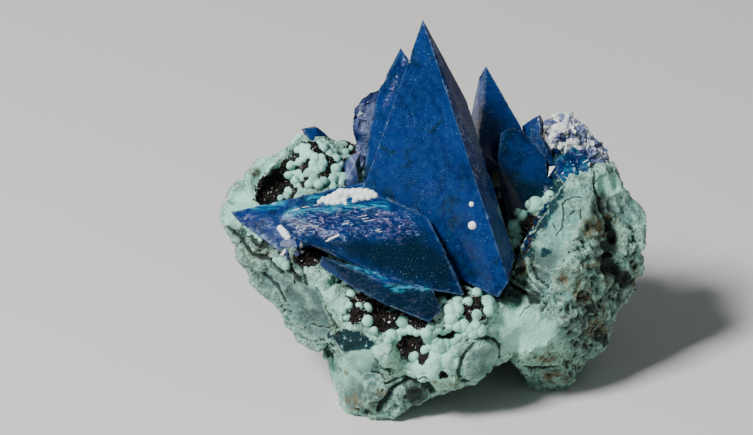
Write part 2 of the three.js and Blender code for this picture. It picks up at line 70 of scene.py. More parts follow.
# ---- rock: four lobes, each a heart and the corners of its broken outline ------------------------
LOBES = {
    "body": ((-1, 5, 11), [
        (-9, 9, 23.4), (-3, 10, 22), (3, 9, 21.6), (8, 8, 21.6), (9, 2, 19.4), (7, -3, 18),
        (0, -1, 18.4), (-7, -3, 19.4), (-12, -4, 20.4), (-13, 2, 22.4), (-13.4, 7, 23.6),
        (-12, 15.6, 25), (-5.6, 16.4, 23.4), (2, 17.8, 25.6), (8, 15.6, 24), (12.6, 14, 26.8),
        (-16, 13, 20), (-12.6, 17, 17.8), (-9.4, 18.4, 13), (-3, 18, 18), (0.6, 20, 15.4),
        (7.4, 18, 17.6), (14, 17.4, 19), (16.4, 12, 14), (-17.6, 11.4, 10.8), (-15, 14.4, 6),
        (-7.6, 16, 7), (-2.4, 17, 9.4), (3.6, 17.8, 6.4), (10.6, 14.6, 8.4), (15.6, 11, 6),
        (-11.4, 9.4, -0.4), (-4, 12.6, -0.5), (5, 13, -0.5), (12.6, 9.6, -0.4), (-14.6, 3, 0.4),
        (-16.6, -2.4, 6.6), (-14, -3.4, -0.3), (-19, 4, 8), (-4, -0.6, -2.4), (3, 4, -2.4),
        (6.4, 8, -2.4), (10.4, 7.4, -2.4), (-4, 6, -2.4), (6.4, 2, 3.4), (5, -4, 7), (-8, -8, 9),
        (-15.6, -7, 12), (2, -7, 14),
    ]),
    "front": ((-4.4, -6.6, 9.4), [
        (-10.1, -10.6, -0.2), (-12.5, -9.3, 0.4), (-6.9, -9.8, -0.3), (-13.2, -8.2, 2.4),
        (-5.3, -10.5, 2.3), (-2.2, -10.5, 4.4), (0.6, -10.3, 4.6), (3.1, -9.4, 4.8), (5, -8, 6.2),
        (-13.4, -10, 6.6), (-10, -12.4, 5.6), (-8, -11.4, 7.4), (-6.3, -12.3, 5.4),
        (-2.6, -12.8, 7.8), (1.2, -12, 7.2), (3.6, -12, 9.6), (6.4, -6.2, 6.6), (-14, -11, 13),
        (-11.2, -12.9, 12.2), (-8.6, -12.9, 10.8), (-4.8, -12.4, 10.2), (-1.2, -13.2, 11.6),
        (3.2, -12.4, 12.2), (6.2, -10.2, 11), (9.2, -9, 13), (9.2, -8.4, 9.6), (7.4, -7.8, 7.6),
        (9.4, -5, 14), (-6.9, -11.6, 15.4), (-2.4, -12.6, 13.6), (-0.1, -11.4, 16.2),
        (2.3, -8.5, 17.6), (4, -10.2, 16), (6.6, -8.6, 15.4), (-14.8, -10.5, 15.1),
        (-15.8, -9.8, 17.8), (-12.6, -11.6, 16.6), (-14.2, -8.6, 7.2), (-15.6, -7.8, 10.4),
        (-13.6, -5, 17), (-6, -6, 17.6), (2, -4, 14), (6, -4, 9.6), (2, -3.6, 4), (-4, -4, -0.8),
        (-13, -3.4, 1), (-9, -6, -0.9), (-13.6, -4, 8),
    ]),
    "left": ((-19, 3.4, 20), [
        (-28.9, 0.6, 23.4), (-28.1, -0.8, 21.7), (-26.9, -1.4, 20.8), (-25.1, -3, 17.3),
        (-24.8, -3.5, 15.8), (-22.3, -4.5, 14), (-20.8, -5, 12.3), (-19.3, -5, 9.2),
        (-16.1, -7.6, 8.3), (-23.4, -4.6, 18.4), (-19.9, -7, 18), (-22.4, -4.6, 20.4),
        (-18.6, -7.6, 20.4), (-17.4, -8.5, 15.6), (-15.4, -9.4, 13.4), (-15.6, -8.6, 18.4),
        (-27.8, 3.6, 23.2), (-27.3, 5, 24.9), (-25.2, 6, 25.8), (-23.4, 8, 27.7),
        (-21.3, 9.4, 28.3), (-18.9, 11, 29.3), (-16.4, 11, 29.1), (-14.3, 11, 27.4),
        (-13, 10.4, 26), (-12.8, 12.4, 27.6), (-11.4, 13, 26.8), (-14.4, 12.6, 27),
        (-24.4, 3, 23.8), (-22, 4.6, 23.6), (-20.8, 7.8, 26), (-19, 6, 26.2), (-16.8, 5, 26),
        (-14.8, 6, 25.8), (-17, 8, 28.4), (-17, 2, 23.4), (-12, 2, 22), (-27, 7.6, 20.6),
        (-24.4, 10.6, 24), (-20, 13.4, 25.4), (-14, 14.6, 25), (-23, 13, 19.4), (-24.6, 8, 14.6),
        (-19.4, 12.6, 13), (-13, 8, 12), (-19.6, 4, 8.4), (-11, -2, 14),
    ]),
    "right": ((14.4, 3.4, 14), [
        (12.2, 8.6, 28), (15.4, 2.6, 27.2), (13.4, 0, 25.4), (9.4, -3, 21.6), (10.6, -6.6, 16.8),
        (15, -6.6, 18.6), (12, -4.6, 21.4), (15.4, -4.4, 23), (17.4, -1, 25.6), (18.9, 4.6, 27.4),
        (20.9, 6, 26.1), (19.4, 0.4, 21.4), (17.8, -3.9, 19.4), (18, -3.7, 15), (21.3, -0.4, 19.4),
        (20.4, -0.8, 15.4), (23.1, 5, 23.1), (25, 3, 20.3), (23.8, 2, 17.4), (24.6, 2, 14.9),
        (23.9, 1.5, 12.3), (21.9, 1, 10), (20.4, 0, 7.2), (19.9, 0, 4.5), (17.3, -1, 2.8),
        (16.2, -1.5, 1.8), (14.5, -2.5, -0.2), (12, -3, -0.3), (10.3, -3.5, 1.3), (8.6, -4.6, 4.2),
        (7.6, -5, 6.8), (9, -9, 8.8), (12, -8.8, 9.4), (8.2, -9.5, 13.2), (13.7, -7.5, 12),
        (13.9, -5, 4.8), (17.6, -4, 10.2), (17, -3, 6), (9.8, 0, 20.8), (10.8, 4, 22.4),
        (6, 4, 14), (7, -4, 14), (9, 3.4, 1.4), (13, 5, -2), (17.2, 4.6, 0.3), (22.8, 9.4, 22),
        (23.4, 8.4, 15.4), (21.6, 7.6, 9.6), (19, 13, 17), (18, 13.4, 26.4), (20.6, 10, 26.2),
        (13.4, 13.4, 27.4), (14, 11, 10),
    ]),
}
# Flat breaks: a point and the direction each faces; the first is the face it rests on.
BREAKS = [
    ((0, 0, 0), (0, 0, -1)),
    ((2, 18.2, 12), (0.12, 1, -0.1)),
    ((21.6, 9.4, 14), (0.82, 0.56, 0.08)),
    ((-20.4, 12.2, 14), (-0.55, 0.62, -0.56)),
]

# ---- corners of the crystals ---------------------------------------------------------------------
TALL_SPIRE = [
    (-3.5, 3.5, 48.6), (-10.5, 1, 27.7), (-12.5, 0.3, 21.8), (0.4, -6.1, 20.2), (5.8, -9.5, 16.9),
    (7.1, -9.3, 18.9), (7.9, -5.6, 20.6), (-1.2, 4.6, 43.6), (2, 3.4, 37.6), (3.4, 5, 26),
    (2, 6.4, 21), (-7, 8.6, 23), (-2.8, 6.2, 41), (0, -3.6, 15.4),
]
BACK_BLADE = [
    (-6.2, 7, 43.2), (-8.1, 6.5, 39.3), (-9, 6.5, 37.5), (-10.4, 5, 30.2), (-10.9, 4, 26),
    (-8.4, 9.6, 24), (-4.6, 8.4, 39), (-2, 8.8, 26), (-3.4, 4, 40), (-6, 3, 26),
]
UPPER_BLADE = [
    (-27.4, -0.5, 24.1), (-10.5, 2, 27.2), (-6, 2, 28.1), (-26.2, -1.8, 23.3), (-21.5, -4.6, 21),
    (-8.6, -0.2, 26.2), (-14, -4, 22), (-21, 2.2, 23), (-9, 4, 23.6), (-6, -1, 20),
]
FRONT_BLADE = [
    (-20.6, -5.5, 26.5), (-21.1, -6, 25.5), (-19.9, -7, 24.2), (-18, -8, 23.8), (-14.9, -9, 23.3),
    (-8.6, -10.6, 20.2), (-2.5, -11.4, 18.9), (1.6, -10.4, 17.6), (0.3, -8.6, 20.5),
    (-0.8, -7.9, 22.5), (-2.9, -4.6, 25.5), (-8.6, -1.2, 26.6), (-19, -4.6, 23.4), (-6, 0.6, 24.6),
    (-1.8, -2, 22), (0.6, -5.4, 18.6), (-13.7, -8.7, 25),
]
LOW_BLADE = [
    (-15.9, -9.5, 22.6), (-16.3, -9.6, 21.3), (-12.1, -11.2, 19.2), (-7.9, -12.6, 17.4),
    (-2.8, -13.2, 15.4), (-1.1, -12.3, 16.3), (-2.2, -11.6, 19), (-7.9, -11.6, 19.9),
    (-13, -8.4, 20.4), (-4, -9.4, 16.4), (-8, -9, 18.6),
]
RIGHT_SPIRE = [
    (4.6, 12, 38.4), (3.8, 12.8, 36.6), (4.3, 10, 34.6), (3.6, 7.8, 28.6), (4.6, 7.4, 20),
    (8.9, 9, 31.6), (13.2, 7.4, 22), (2.6, 13.2, 29.6), (3, 12.8, 21), (9.2, 12.8, 21.4),
    (6.6, 13.2, 33),
]
DARK_BLOCK = [
    (6.4, 6, 31.9), (7.1, 6, 32.4), (8, 6.4, 32.5), (9.5, 7, 31.5), (10.3, 6, 29.8), (6, 4.6, 29),
    (7.6, 2.6, 20), (11, 2.4, 20), (12.8, 4, 22.6), (12.1, 6, 28.2), (7, 9, 20), (12, 9, 22),
    (6, 8, 30),
]
SIDE_BLOCK = [
    (10.2, 6.4, 31), (11.4, 6.6, 31.1), (12.6, 7, 29.6), (13.6, 6, 26.2), (9.6, 8, 26),
    (13.4, 9.4, 26), (10.4, 9.4, 31),
]
PURPLE_POINT = [
    (11.4, 10, 32.7), (9.2, 10, 31), (12, 10.6, 31.2), (11.4, 8, 30.8), (9.4, 12, 27),
    (12.6, 11, 27), (10, 8.4, 27),
]
REAR_SHARD = [
    (-9, 9.4, 36.3), (-9.9, 9.6, 35.9), (-11.1, 9.7, 34.9), (-12.2, 9.8, 33), (-12, 10, 29.6),
    (-11.4, 11, 24.4), (-8.2, 13, 25), (-7.2, 11.6, 34), (-6.4, 11, 26), (-10.6, 9.9, 26.4),
]
LAVENDER_SHARD = [
    (-13.3, 9, 26.4), (-12.6, 6.8, 28.4), (-11.9, 5.4, 28), (-11.4, 5.2, 25.4), (-13.6, 6.4, 24),
    (-11.2, 8.2, 28.3), (-12, 9.8, 24),
]
KNOB = [
    (-18.8, 11.4, 29.9), (-18.5, 10.6, 30.3), (-16.6, 10.8, 30.4), (-15.3, 11, 29.1),
    (-17.3, 9.8, 28.7), (-17, 12.6, 29.8), (-17.6, 11, 27.6), (-15.8, 12, 28),
]
RIM_SHARDS = [
    [
        (12, 10, 31.4), (12.8, 10.6, 32), (13.9, 11, 32.5), (14.6, 9, 31.2), (12.6, 8.4, 28),
        (14.6, 12.6, 27), (16, 10, 27.4), (15.4, 11, 32.2),
    ],
    [
        (15, 10.6, 32), (16.6, 11, 31.2), (17.7, 10.8, 30.2), (17, 7.6, 28), (14.4, 8, 27.6),
        (18.6, 11.6, 26.6), (15.4, 13, 26.6), (15.6, 8.6, 31),
    ],
    [
        (17.6, 10.6, 30.2), (19.2, 10.2, 28.9), (20.2, 9.6, 27.7), (20, 7.4, 26.4), (17, 8, 26.4),
        (20, 11, 25.4), (17.4, 8, 29.2),
    ],
    [
        (15.4, 5.6, 30.2), (13.2, 4.2, 29), (13.4, 3.6, 27), (14.6, 2.8, 26.2), (16.7, 3, 26),
        (17.7, 4.6, 28.2), (17.2, 6, 29.6), (14, 8, 26.4), (17.4, 8, 26.4),
    ],
]

# ---- crust balls: across and up as seen from the front, and radius -------------------------------
MOUND_BALLS = [
    (-19, 29, 0.51), (-18.4, 29.4, 0.51), (-17.8, 29.3, 0.51), (-18.2, 28.5, 0.62),
    (-17.5, 28.4, 0.62), (-16.9, 28, 0.67), (-16.2, 27.9, 0.67), (-15.9, 27.3, 0.62),
    (-18.8, 27.5, 0.56), (-18.3, 27.9, 0.51), (-17, 27.2, 0.67), (-16.7, 26.5, 0.84),
    (-16.2, 26.7, 0.67), (-17.5, 26, 0.84), (-17.1, 25.6, 0.67), (-18.8, 26, 0.67),
    (-18.3, 25.6, 0.62), (-19.2, 25.3, 0.79), (-19, 24.7, 0.67), (-19.9, 27.1, 0.62),
    (-20.1, 26, 0.67), (-19.5, 26.3, 0.45), (-17.6, 24.7, 0.62), (-16.4, 24.7, 0.67),
    (-15.8, 25.1, 0.62), (-16.4, 29.9, 0.43), (-15.9, 30.1, 0.43), (-15.4, 29.8, 0.43),
    (-14.8, 29.3, 0.43), (-14.4, 28.8, 0.45), (-15.9, 29.2, 0.67), (-15.2, 28.5, 0.67),
    (-15.6, 29.5, 0.45), (-14.3, 27.9, 0.67), (-13.9, 27.2, 0.67), (-14.3, 26.6, 0.73),
    (-14.1, 25.9, 0.67), (-14.7, 25.4, 0.67), (-14.6, 24.4, 0.51), (-13.3, 25.6, 0.62),
    (-13.6, 24.9, 0.45), (-20.1, 23.8, 0.67), (-20.4, 23.3, 0.56), (-21.2, 23, 0.45),
    (-18.6, 23.8, 0.51), (-18.7, 24.3, 0.39), (-18.8, 30.7, 0.45), (-19.2, 30.3, 0.39),
    (-19.6, 29.9, 0.34), (-13.1, 28.7, 0.56), (-12.8, 28.3, 0.34), (-12.5, 29.2, 0.45),
]
FRONT_BALLS = [
    (-10.5, 9.2, 0.77), (-11.4, 9.5, 0.51), (-10.3, 7.7, 0.7), (-9.5, 6.5, 0.51), (-6, 7.7, 0.83),
    (-7.4, 5.9, 0.77), (-7.8, 5.2, 0.57), (-6.4, 6.2, 0.57), (-5.8, 6.5, 0.64), (-4.9, 6.6, 0.7),
    (-4.2, 6.3, 0.57), (-6.5, 5.6, 0.42), (-2.9, 6.2, 0.83), (-2.4, 7, 0.57), (-2.9, 5.6, 0.57),
    (-1.5, 6.5, 0.51), (-0.9, 6.5, 0.64), (-0.3, 6.7, 0.57), (-1, 10, 0.83), (-1.5, 9.5, 0.51),
    (0, 9, 0.83), (1, 9.1, 0.77), (0.1, 8, 0.83), (0.9, 10.2, 0.7), (2.2, 10, 0.64),
    (0.8, 8.5, 0.57), (2.4, 13.1, 0.7), (2.4, 12.1, 0.83), (3.4, 12.5, 0.51), (3.3, 11.1, 0.7),
    (4.1, 11.8, 0.51), (4.7, 9.9, 0.96), (4.8, 8.9, 0.77), (3.3, 8.4, 0.7), (1.6, 7.1, 0.83),
    (0.9, 7, 0.7), (2.4, 6.7, 0.64), (0, 7.1, 0.64), (3.2, 7.1, 0.64), (3.8, 6.5, 0.77),
    (2.8, 6.2, 0.77), (2, 6.3, 0.57), (-1.4, 4.5, 0.96), (-0.6, 4.6, 0.89), (-1.8, 5.1, 0.57),
    (-3.1, 4, 0.61), (-2.6, 4.4, 0.46), (-4.5, 3.2, 0.73), (1.1, 5.7, 0.57), (0.4, 4.9, 0.57),
    (-12.4, 11, 0.6), (-11.6, 11.5, 0.5), (-21.2, 15, 0.62), (-20.6, 14.6, 0.56), (-21.8, 15.3, 0.4),
    (-25.5, 19.5, 0.36), (-25, 19.1, 0.42), (-24.5, 18.7, 0.36), (-24.1, 18.3, 0.4), (-23.7, 17.8, 0.3),
    (-25.1, 18.5, 0.3), (-12.9, 8.2, 0.5), (-13.4, 9, 0.5), (-12.6, 9.6, 0.45),
]
LOW_SWELLINGS = [
    (-8.7, 3.9, 0.89), (-7.7, 4, 0.89), (-8, 3.1, 1.02), (-7, 2.5, 0.77), (-2.9, 2.6, 1.02),
    (-1.8, 3.1, 0.89), (-0.4, 2.8, 1.02), (-3.7, 1.9, 0.89), (0.5, 4, 0.77), (-2.2, 1.4, 1.02),
    (-0.4, 1.6, 0.77), (-4.7, 1.1, 0.77), (-3.5, 0.8, 0.77), (0.4, 2.6, 0.77), (-1.7, 2.1, 0.77),
]
GALLERY_BALLS = [
    (6.5, 17.6, 0.5), (7, 16.9, 0.45), (7.3, 16, 0.5), (7.7, 15.2, 0.42), (7.6, 14.4, 0.4),
    (8.1, 13.6, 0.45), (6, 18.4, 0.5), (7.2, 17.7, 0.4),
    (10.6, 22.1, 1.23), (11.5, 22.2, 0.98), (10, 22.2, 0.74), (8.9, 20.9, 0.82),
    (8.5, 21.2, 0.65), (8.2, 17.2, 0.8), (7.4, 16.4, 0.6), (12.5, 23.3, 0.74), (12, 22.9, 0.57),
    (7.9, 19.6, 0.82), (8.3, 19.1, 0.65), (7.8, 18.6, 0.49), (8.3, 18.3, 0.57), (8.7, 18, 0.49),
]
BLADE_BALLS = [
    (-16.3, 22.5, 0.36), (-15.8, 22.8, 0.46), (-15.3, 22.4, 0.36), (-15, 22.9, 0.62),
    (-14.6, 22.4, 0.42), (-14.2, 23.1, 0.8), (-13.6, 23.5, 0.8), (-13.9, 22.5, 0.5),
    (-13.3, 22.6, 0.44), (-12.9, 23.5, 0.72), (-12.1, 23.6, 0.7), (-11.7, 22.9, 0.52),
    (-11.3, 23.6, 0.74), (-10.9, 23.1, 0.6), (-10.5, 23.6, 0.66), (-10.2, 23.1, 0.5),
    (-9.8, 23.5, 0.56), (-9.4, 23.3, 0.46), (-12, 22.6, 0.3), (-13.1, 22.3, 0.3),
]
SPIRE_BALLS = [(2.7, 22.25, 0.36), (2.8, 19.6, 0.57)]
BROKEN_END_BALLS = [
    (-21.2, 19.2, 0.46), (-21, 18.95, 0.5), (-20.75, 18.7, 0.54), (-20.5, 18.4, 0.54),
    (-20.3, 18.15, 0.5),
]
# The same balls as the solids have at the back: across and up as seen from behind.
BACK_BALLS = [
    (-16, 12.1, 1.1), (-14.4, 10.8, 0.85), (-17.2, 10.6, 0.8), (3, 4, 1.2), (4.8, 3.2, 0.85),
    (2, 2.6, 0.8), (19.6, 13.4, 0.85), (20.6, 12, 0.8),
]

# ---- marks on the rock, across and up as seen from the front -------------------------------------
PITS = [
    ((-19.2, 14.4), 0.9, 0.7), ((-23.4, 16.4), 0.9, 0.5), ((-21.8, 14.8), 0.7, 0.5),
    ((-22, 24), 2.1, 1.3), ((-20.6, 25.2), 1.8, 1.3), ((-19.4, 26), 1.2, 0.8),
    ((-17.2, 16.6), 1.7, 1.3), ((-18.6, 15.4), 1.3, 0.7), ((-6.8, 8.6), 2.4, 0.9), ((-9, 10), 1.8, 0.9),
    ((-4.7, 4.2), 2.1, 1.5), ((-0.4, 5.5), 1.2, 0.8), ((-0.9, 1), 0.5, 0.8),
    ((20.4, 17.4), 1.3, 1.1), ((20, 15), 1.3, 1.1), ((8.2, 17.2), 1.5, 0.8),
    ((17.7, 19.3), 0.7, 0.6), ((14.6, 13.4), 0.9, 0.5), ((16.3, 10.9), 0.7, 0.5),
]
# Dark druse in pits and round the crust balls; its darkness there also stands for painted shade.
DRUSE_AND_SHADE_SPOTS = [
    ((-22.2, 23.8), 2.2), ((-20.9, 25.2), 1.9), ((-19.6, 26.6), 1.6), ((-18.4, 28), 1.5),
    ((-17, 27), 3.0), ((-14.8, 27), 1.6), ((-12.2, 29), 1.0),
    ((-17.2, 16.6), 2.0), ((-18.6, 15.4), 1.1), ((-11.9, 10.6), 1.0), ((-11, 9.9), 1.3), ((-9.4, 9.2), 1.6),
    ((-8.4, 7.6), 1.5), ((-6.6, 8), 1.8), ((-4.8, 7.6), 1.2), ((-3, 7.5), 0.9),
    ((-11.8, 8.3), 0.8), ((-4.8, 4.3), 1.75), ((-3.9, 3.4), 1.2), ((-0.4, 5.6), 1.1),
    ((0.7, 5.8), 0.7), ((-0.9, 1), 0.55), ((3, 9), 1.5), ((3.6, 10.4), 0.8), ((1.2, 12.4), 1.6),
    ((-1, 10.6), 1.1), ((10, 19.8), 1.2), ((8.8, 17.4), 1.4), ((7.4, 21.6), 1.2),
    ((20.4, 15.6), 0.6), ((4.6, 28), 1.3), ((5, 25), 1.4), ((5.6, 22), 1.3), ((6.6, 19.6), 1.1),
]
TEAL_SPOTS = [((-13.2, 5.8), 0.9), ((-12.3, 5.3), 1.1), ((-11.2, 5.3), 1.0), ((-10.4, 4.9), 0.8),
              ((-14.9, 4.4), 0.6),
              ((-14.7, 5.8), 0.5), ((11.8, 16.4), 0.5), ((12.6, 16.1), 0.3), ((-15.2, 18), 0.8),
              ((13.1, 28), 1.1), ((12.9, 26.2), 1.0), ((12.4, 24.8), 0.9)]
OCHRE_SPOTS = [
    ((-24.4, 26), 0.55), ((-15.6, 0.4), 0.5), ((-15, -1.4), 0.5),
    ((17.7, 19.3), 1.4), ((14.6, 13.4), 1.5), ((16.1, 12.1), 1.6), ((20.2, 17.6), 1.5),
    ((12.8, 2.1), 2.3), ((17.3, 14.8), 0.8), ((16.3, 10.9), 1.1), ((18.1, 18.6), 1.0),
    ((19.7, 20), 1.1), ((22.4, 13), 1.2), ((19.6, 13), 1.0), ((-9, 2.7), 0.5), ((-8.3, -1.6), 0.7),
    ((-12.3, -2.4), 1.3), ((-13, 1.2), 0.6), ((-1.4, 0), 0.8), ((0.6, -0.2), 0.7),
    ((18.4, 6.6), 1.5), ((-14.6, 7.4), 0.4), ((9.2, 14.4), 1.2),
]
GREY_SPOTS = [
    ((-17.4, 10.6), 3.0), ((-19.6, 13), 2.4), ((18.8, 21.6), 1.9), ((10, 11.8), 1.8),
    ((8.6, 15.4), 1.6), ((16.6, 6.6), 2.6), ((21, 12), 2.2), ((-24, 16.8), 2.6), ((-22.6, 13.6), 2.6),
    ((-19, 11.6), 3.0), ((-26.6, 18.4), 1.6), ((11.6, 14.6), 1.8),
    ((-21.4, 15.8), 2.4), ((-20, 17.6), 1.6), ((22, 9.4), 2.0), ((-4.4, -0.9), 1.0), ((-16, 7), 1.6), ((-22.6, 17.4), 1.2),
    ((-16.8, 9), 2.6), ((-10.4, -1.2), 2.8), ((-12.4, -2.6), 1.8),
]
# Pale rock; on the lit rims, crests and saddle the paleness also stands for painted light.
PALE_AND_LIT_SPOTS = [
    ((12.6, 4.2), 1.8), ((14.6, 5), 1.4), ((19.8, 24.4), 1.6), ((-17.6, 12.8), 1.0),
    ((8.6, 7.4), 3.0), ((11.2, 5.6), 2.2), ((-1.6, 2.6), 3.2), ((-6.2, 2.6), 2.2),
    ((-9.6, 5), 1.8), ((-15.2, 11.6), 1.4), ((-24.4, 24), 1.6), ((-22, 27.4), 1.6), ((9, 3), 1.4),
    ((-26, 22.4), 2.2), ((-24.4, 25), 1.8), ((5.6, 8.6), 2.0), ((6.4, 4), 2.0), ((-12.8, 0.6), 1.8), ((-23.6, 25.8), 2.0), ((-27, 20.6), 1.2), ((-11.6, 2.4), 1.6), ((3.4, 6), 1.2),
]
CRACKS = [
    [(16.4, 23.2), (15.5, 23.2), (14.5, 22.8), (14.1, 22.2), (14.2, 20.7), (14, 19.4), (13.2, 18.3)],
    [(16.3, 21.5), (16.3, 20.4)], [(12.8, 19.9), (13.2, 19.2)], [(15.6, 21.4), (15, 21)],
    [(-9.8, 1.3), (-8.6, 1.1), (-8, 0.2)], [(-20.4, 14.8), (-19.6, 13.2), (-19.4, 12.4)],
    [(9.9, 9.4), (9.1, 9), (8.7, 8.2)], [(-4.2, 0.6), (-3.2, 0.9), (-2, 0.6)],
    [(-16.7, 11.9), (-15.5, 10.2), (-14.4, 7.6), (-13.4, 5)], [(-17.2, 7.2), (-16.2, 6.9), (-15.1, 6.8)],
    [(5.9, 12.4), (5.2, 10.6), (5, 8.6), (4.4, 7.4)],
]
GROOVES = [
    ([(-27.9, 19.3), (-25.9, 17.7), (-24.5, 15.9), (-22.5, 15.2), (-21.1, 13.7)], 0.35, 0.7),
    ([(-26.1, 19.2), (-24.9, 18.3), (-23.6, 17)], 0.4, 0.6),
    ([(-20.3, 15.8), (-20, 13.8), (-18.7, 12.5)], 0.4, 0.7),
    ([(-18.3, 15.2), (-18.7, 14), (-17.8, 12.3)], 0.35, 0.7),
    ([(-23.4, 13.6), (-21.6, 12), (-20.6, 10.2)], 0.3, 0.4),
    ([(-8.9, -3.5), (-7.7, -1.7), (-6.9, -0.7), (-5.4, 0.2), (-3.6, -0.2), (-2.3, -1.1)], 0.65, 0.9),
    ([(-8.2, -0.4), (-7.2, 0.2), (-5.9, 0.6), (-4.3, 0.2), (-2.5, -0.5)], 0.3, 0.5),
    ([(19.7, 20.2), (20.5, 18.6), (20.7, 16.6), (20.2, 15.2), (19.5, 13.9)], 0.9, 1.0),
    ([(17.9, 26.4), (18.2, 24), (18.8, 21.4), (19.6, 18.9)], 0.4, 0.5),
    ([(7.5, 12.4), (9.2, 11.3), (11, 9.9)], 0.4, 0.4),
    ([(7.6, 2.2), (9.4, 1.9), (11.4, 1.7), (13.2, 2.3)], 0.35, 0.5),
    ([(10.5, 15.9), (10.2, 14.6), (10.9, 13), (12.2, 12)], 0.25, 0.25),
]
RIDGES = [
    ([(-15.9, 11), (-14.9, 8.5), (-14.2, 6.1), (-13.1, 4.5), (-12.6, 3.3)], 0.7, 0.5),
    ([(7.5, 12.9), (9.2, 11.9), (11, 10.5), (11.9, 10.2)], 0.4, 0.4),
    ([(8.8, 13.5), (9.9, 12.6), (11.5, 10.9)], 0.3, 0.3),
    ([(9.9, 14.8), (10.1, 13.5), (10.9, 12.6), (12, 11.6)], 0.3, 0.3),
    ([(10.4, 16.2), (9.8, 15.2), (9.8, 13.9), (10.6, 12.5)], 0.3, 0.3),
    ([(11, 4.7), (9.2, 3.2), (7.9, 2.9)], 0.3, 0.25),
    ([(-11.4, -1.1), (-11.6, 0.2), (-10.4, 1.1), (-9.2, 1.1), (-8.4, 0), (-8.1, -1.1)], 0.3, 0.25),
    ([(-10.5, -0.9), (-10.5, -0.1), (-9.7, 0.4), (-9, -0.1), (-8.6, -0.9)], 0.3, 0.25),
    ([(-7.2, -1.2), (-6.5, -1.7), (-6.3, -3), (-7.4, -3.9)], 0.7, 0.5),
    ([(19.2, 26.4), (20, 23.8), (20.8, 21.6)], 0.9, 0.4),
    ([(-24.3, 23.2), (-23.6, 25.2), (-22, 27), (-20.5, 28.7)], 0.45, 0.45),
    ([(2, -0.3), (3.2, -0.6), (4.4, 0.2), (4.9, 1.4)], 0.4, 0.4),
    ([(-16.4, 15.6), (-15.2, 13.4), (-14.2, 11.4)], 0.9, 0.5),
    ([(-28.2, 21.6), (-27, 23.6), (-25.4, 25), (-23.8, 27.2), (-21.6, 28.2)], 0.6, 0.25),
    ([(21.6, 22.4), (23, 20.4), (24, 18.6), (23.2, 15.4)], 0.7, 0.3),
    ([(0.4, 0), (0.6, 1.6), (1.2, 3.2), (2.6, 4.8), (4.2, 5.6)], 0.4, 0.4),
]
DISC = ((3.6, 2.7), (2.8, 1.85), 50)      # middle, half lengths and lean
FOAM_LINES = [
    ([(-17.9, 14.4), (-15.5, 12), (-13.7, 9.6), (-12.9, 7)], 1.5),
    ([(-26.4, 19.6), (-25, 19), (-23.8, 17.9)], 0.9), ([(-21.6, 15.2), (-20.6, 14.6)], 0.7),
]
GAP_CRYSTALS = [
    ((13.2, 28.6), 0.9), ((13.9, 27.9), 0.6), ((13, 27.4), 1.0), ((13.7, 26.8), 0.6),
    ((12.9, 26.2), 1.0), ((12.6, 25.2), 0.9), ((13.3, 25.6), 0.6), ((12.3, 24.2), 0.8),
    ((12.8, 24.7), 0.5), ((12.7, 23.2), 0.6), ((12.2, 22.3), 0.6), ((11.8, 21.5), 0.6),
    ((11.3, 20.7), 0.6), ((10.9, 19.9), 0.6), ((10.5, 19.1), 0.65), ((10.1, 18.3), 0.7),
    ((9.8, 17.4), 0.7), ((9.6, 16.6), 0.6), ((5, 27), 0.8), ((4.6, 25.4), 0.7), ((5.6, 24), 0.9), ((6.2, 21.8), 0.8),
    ((5.4, 22.8), 0.7), ((6.8, 20.4), 0.6), ((11.8, 23.2), 0.5),
]
SHARD_CHIPS = [
    ((-20.2, 17), 1.2), ((-19.6, 16.2), 1.05), ((-20.7, 16), 0.8), ((-19, 17.2), 0.7),
    ((-20.1, 15.4), 0.7), ((-19.3, 17.8), 0.45), ((-21.4, 16.6), 0.45), ((-18.7, 16.2), 0.45),
    ((-22.6, 17.8), 0.4),
]
# White splinters on the blades that stand for painted glints.
GLINT_SLIVERS = [
    ((-14.6, 18.1), 1.8, 0.34, 24), ((-15.3, 17.7), 0.6, 0.26, 24), ((-13.1, 19.8), 1.1, 0.2, 15),
    ((-12.9, 20.15), 0.8, 0.1, 15), ((-11, 20.75), 1.5, 0.16, 13), ((-10.6, 20.45), 1.1, 0.12, 13),
    ((-10.1, 20.2), 1.7, 0.14, 12), ((-9.1, 19), 0.9, 0.16, 12), ((-10.6, 21.6), 1.4, 0.12, 10),
    ((-20.1, 21.1), 0.9, 0.16, 26), ((-19.2, 21.6), 1.0, 0.16, 18), ((-18.1, 21.9), 1.1, 0.12, 10),
    ((-16.9, 22.1), 0.9, 0.1, 7), ((-17.4, 20.1), 0.6, 0.16, 40), ((-16.6, 19.5), 0.5, 0.2, 30),
    ((-18.2, 19.2), 0.5, 0.16, 20), ((-19.1, 19.4), 0.6, 0.14, 50), ((-8.7, 18.8), 0.6, 0.1, 12),
]
RIM_SLIVERS = [
    ((16.85, 30.1), 1.1, 0.3, 80), ((17.25, 29.5), 0.9, 0.3, 70), ((16.9, 27.6), 1.0, 0.2, 30),
    ((17.4, 27.4), 0.9, 0.3, 80), 
    ((13.5, 25.8), 0.6, 0.14, -20), ((14.4, 25.6), 0.8, 0.16, -20), ((14, 26.1), 0.6, 0.14, 40),
    ((17.2, 25.4), 0.7, 0.24, 80), ((14.9, 31.4), 0.9, 0.5, 30), ((14.4, 30.8), 0.8, 0.4, -30),
    ((15.6, 32.6), 0.9, 0.5, 10), ((16.3, 32.1), 0.8, 0.5, 60), ((16.2, 31), 0.9, 0.4, 75),
    ((15.4, 29.8), 0.8, 0.16, 10), ((16.2, 29.3), 0.7, 0.14, -30), ((17.2, 31), 0.9, 0.4, 70),
]
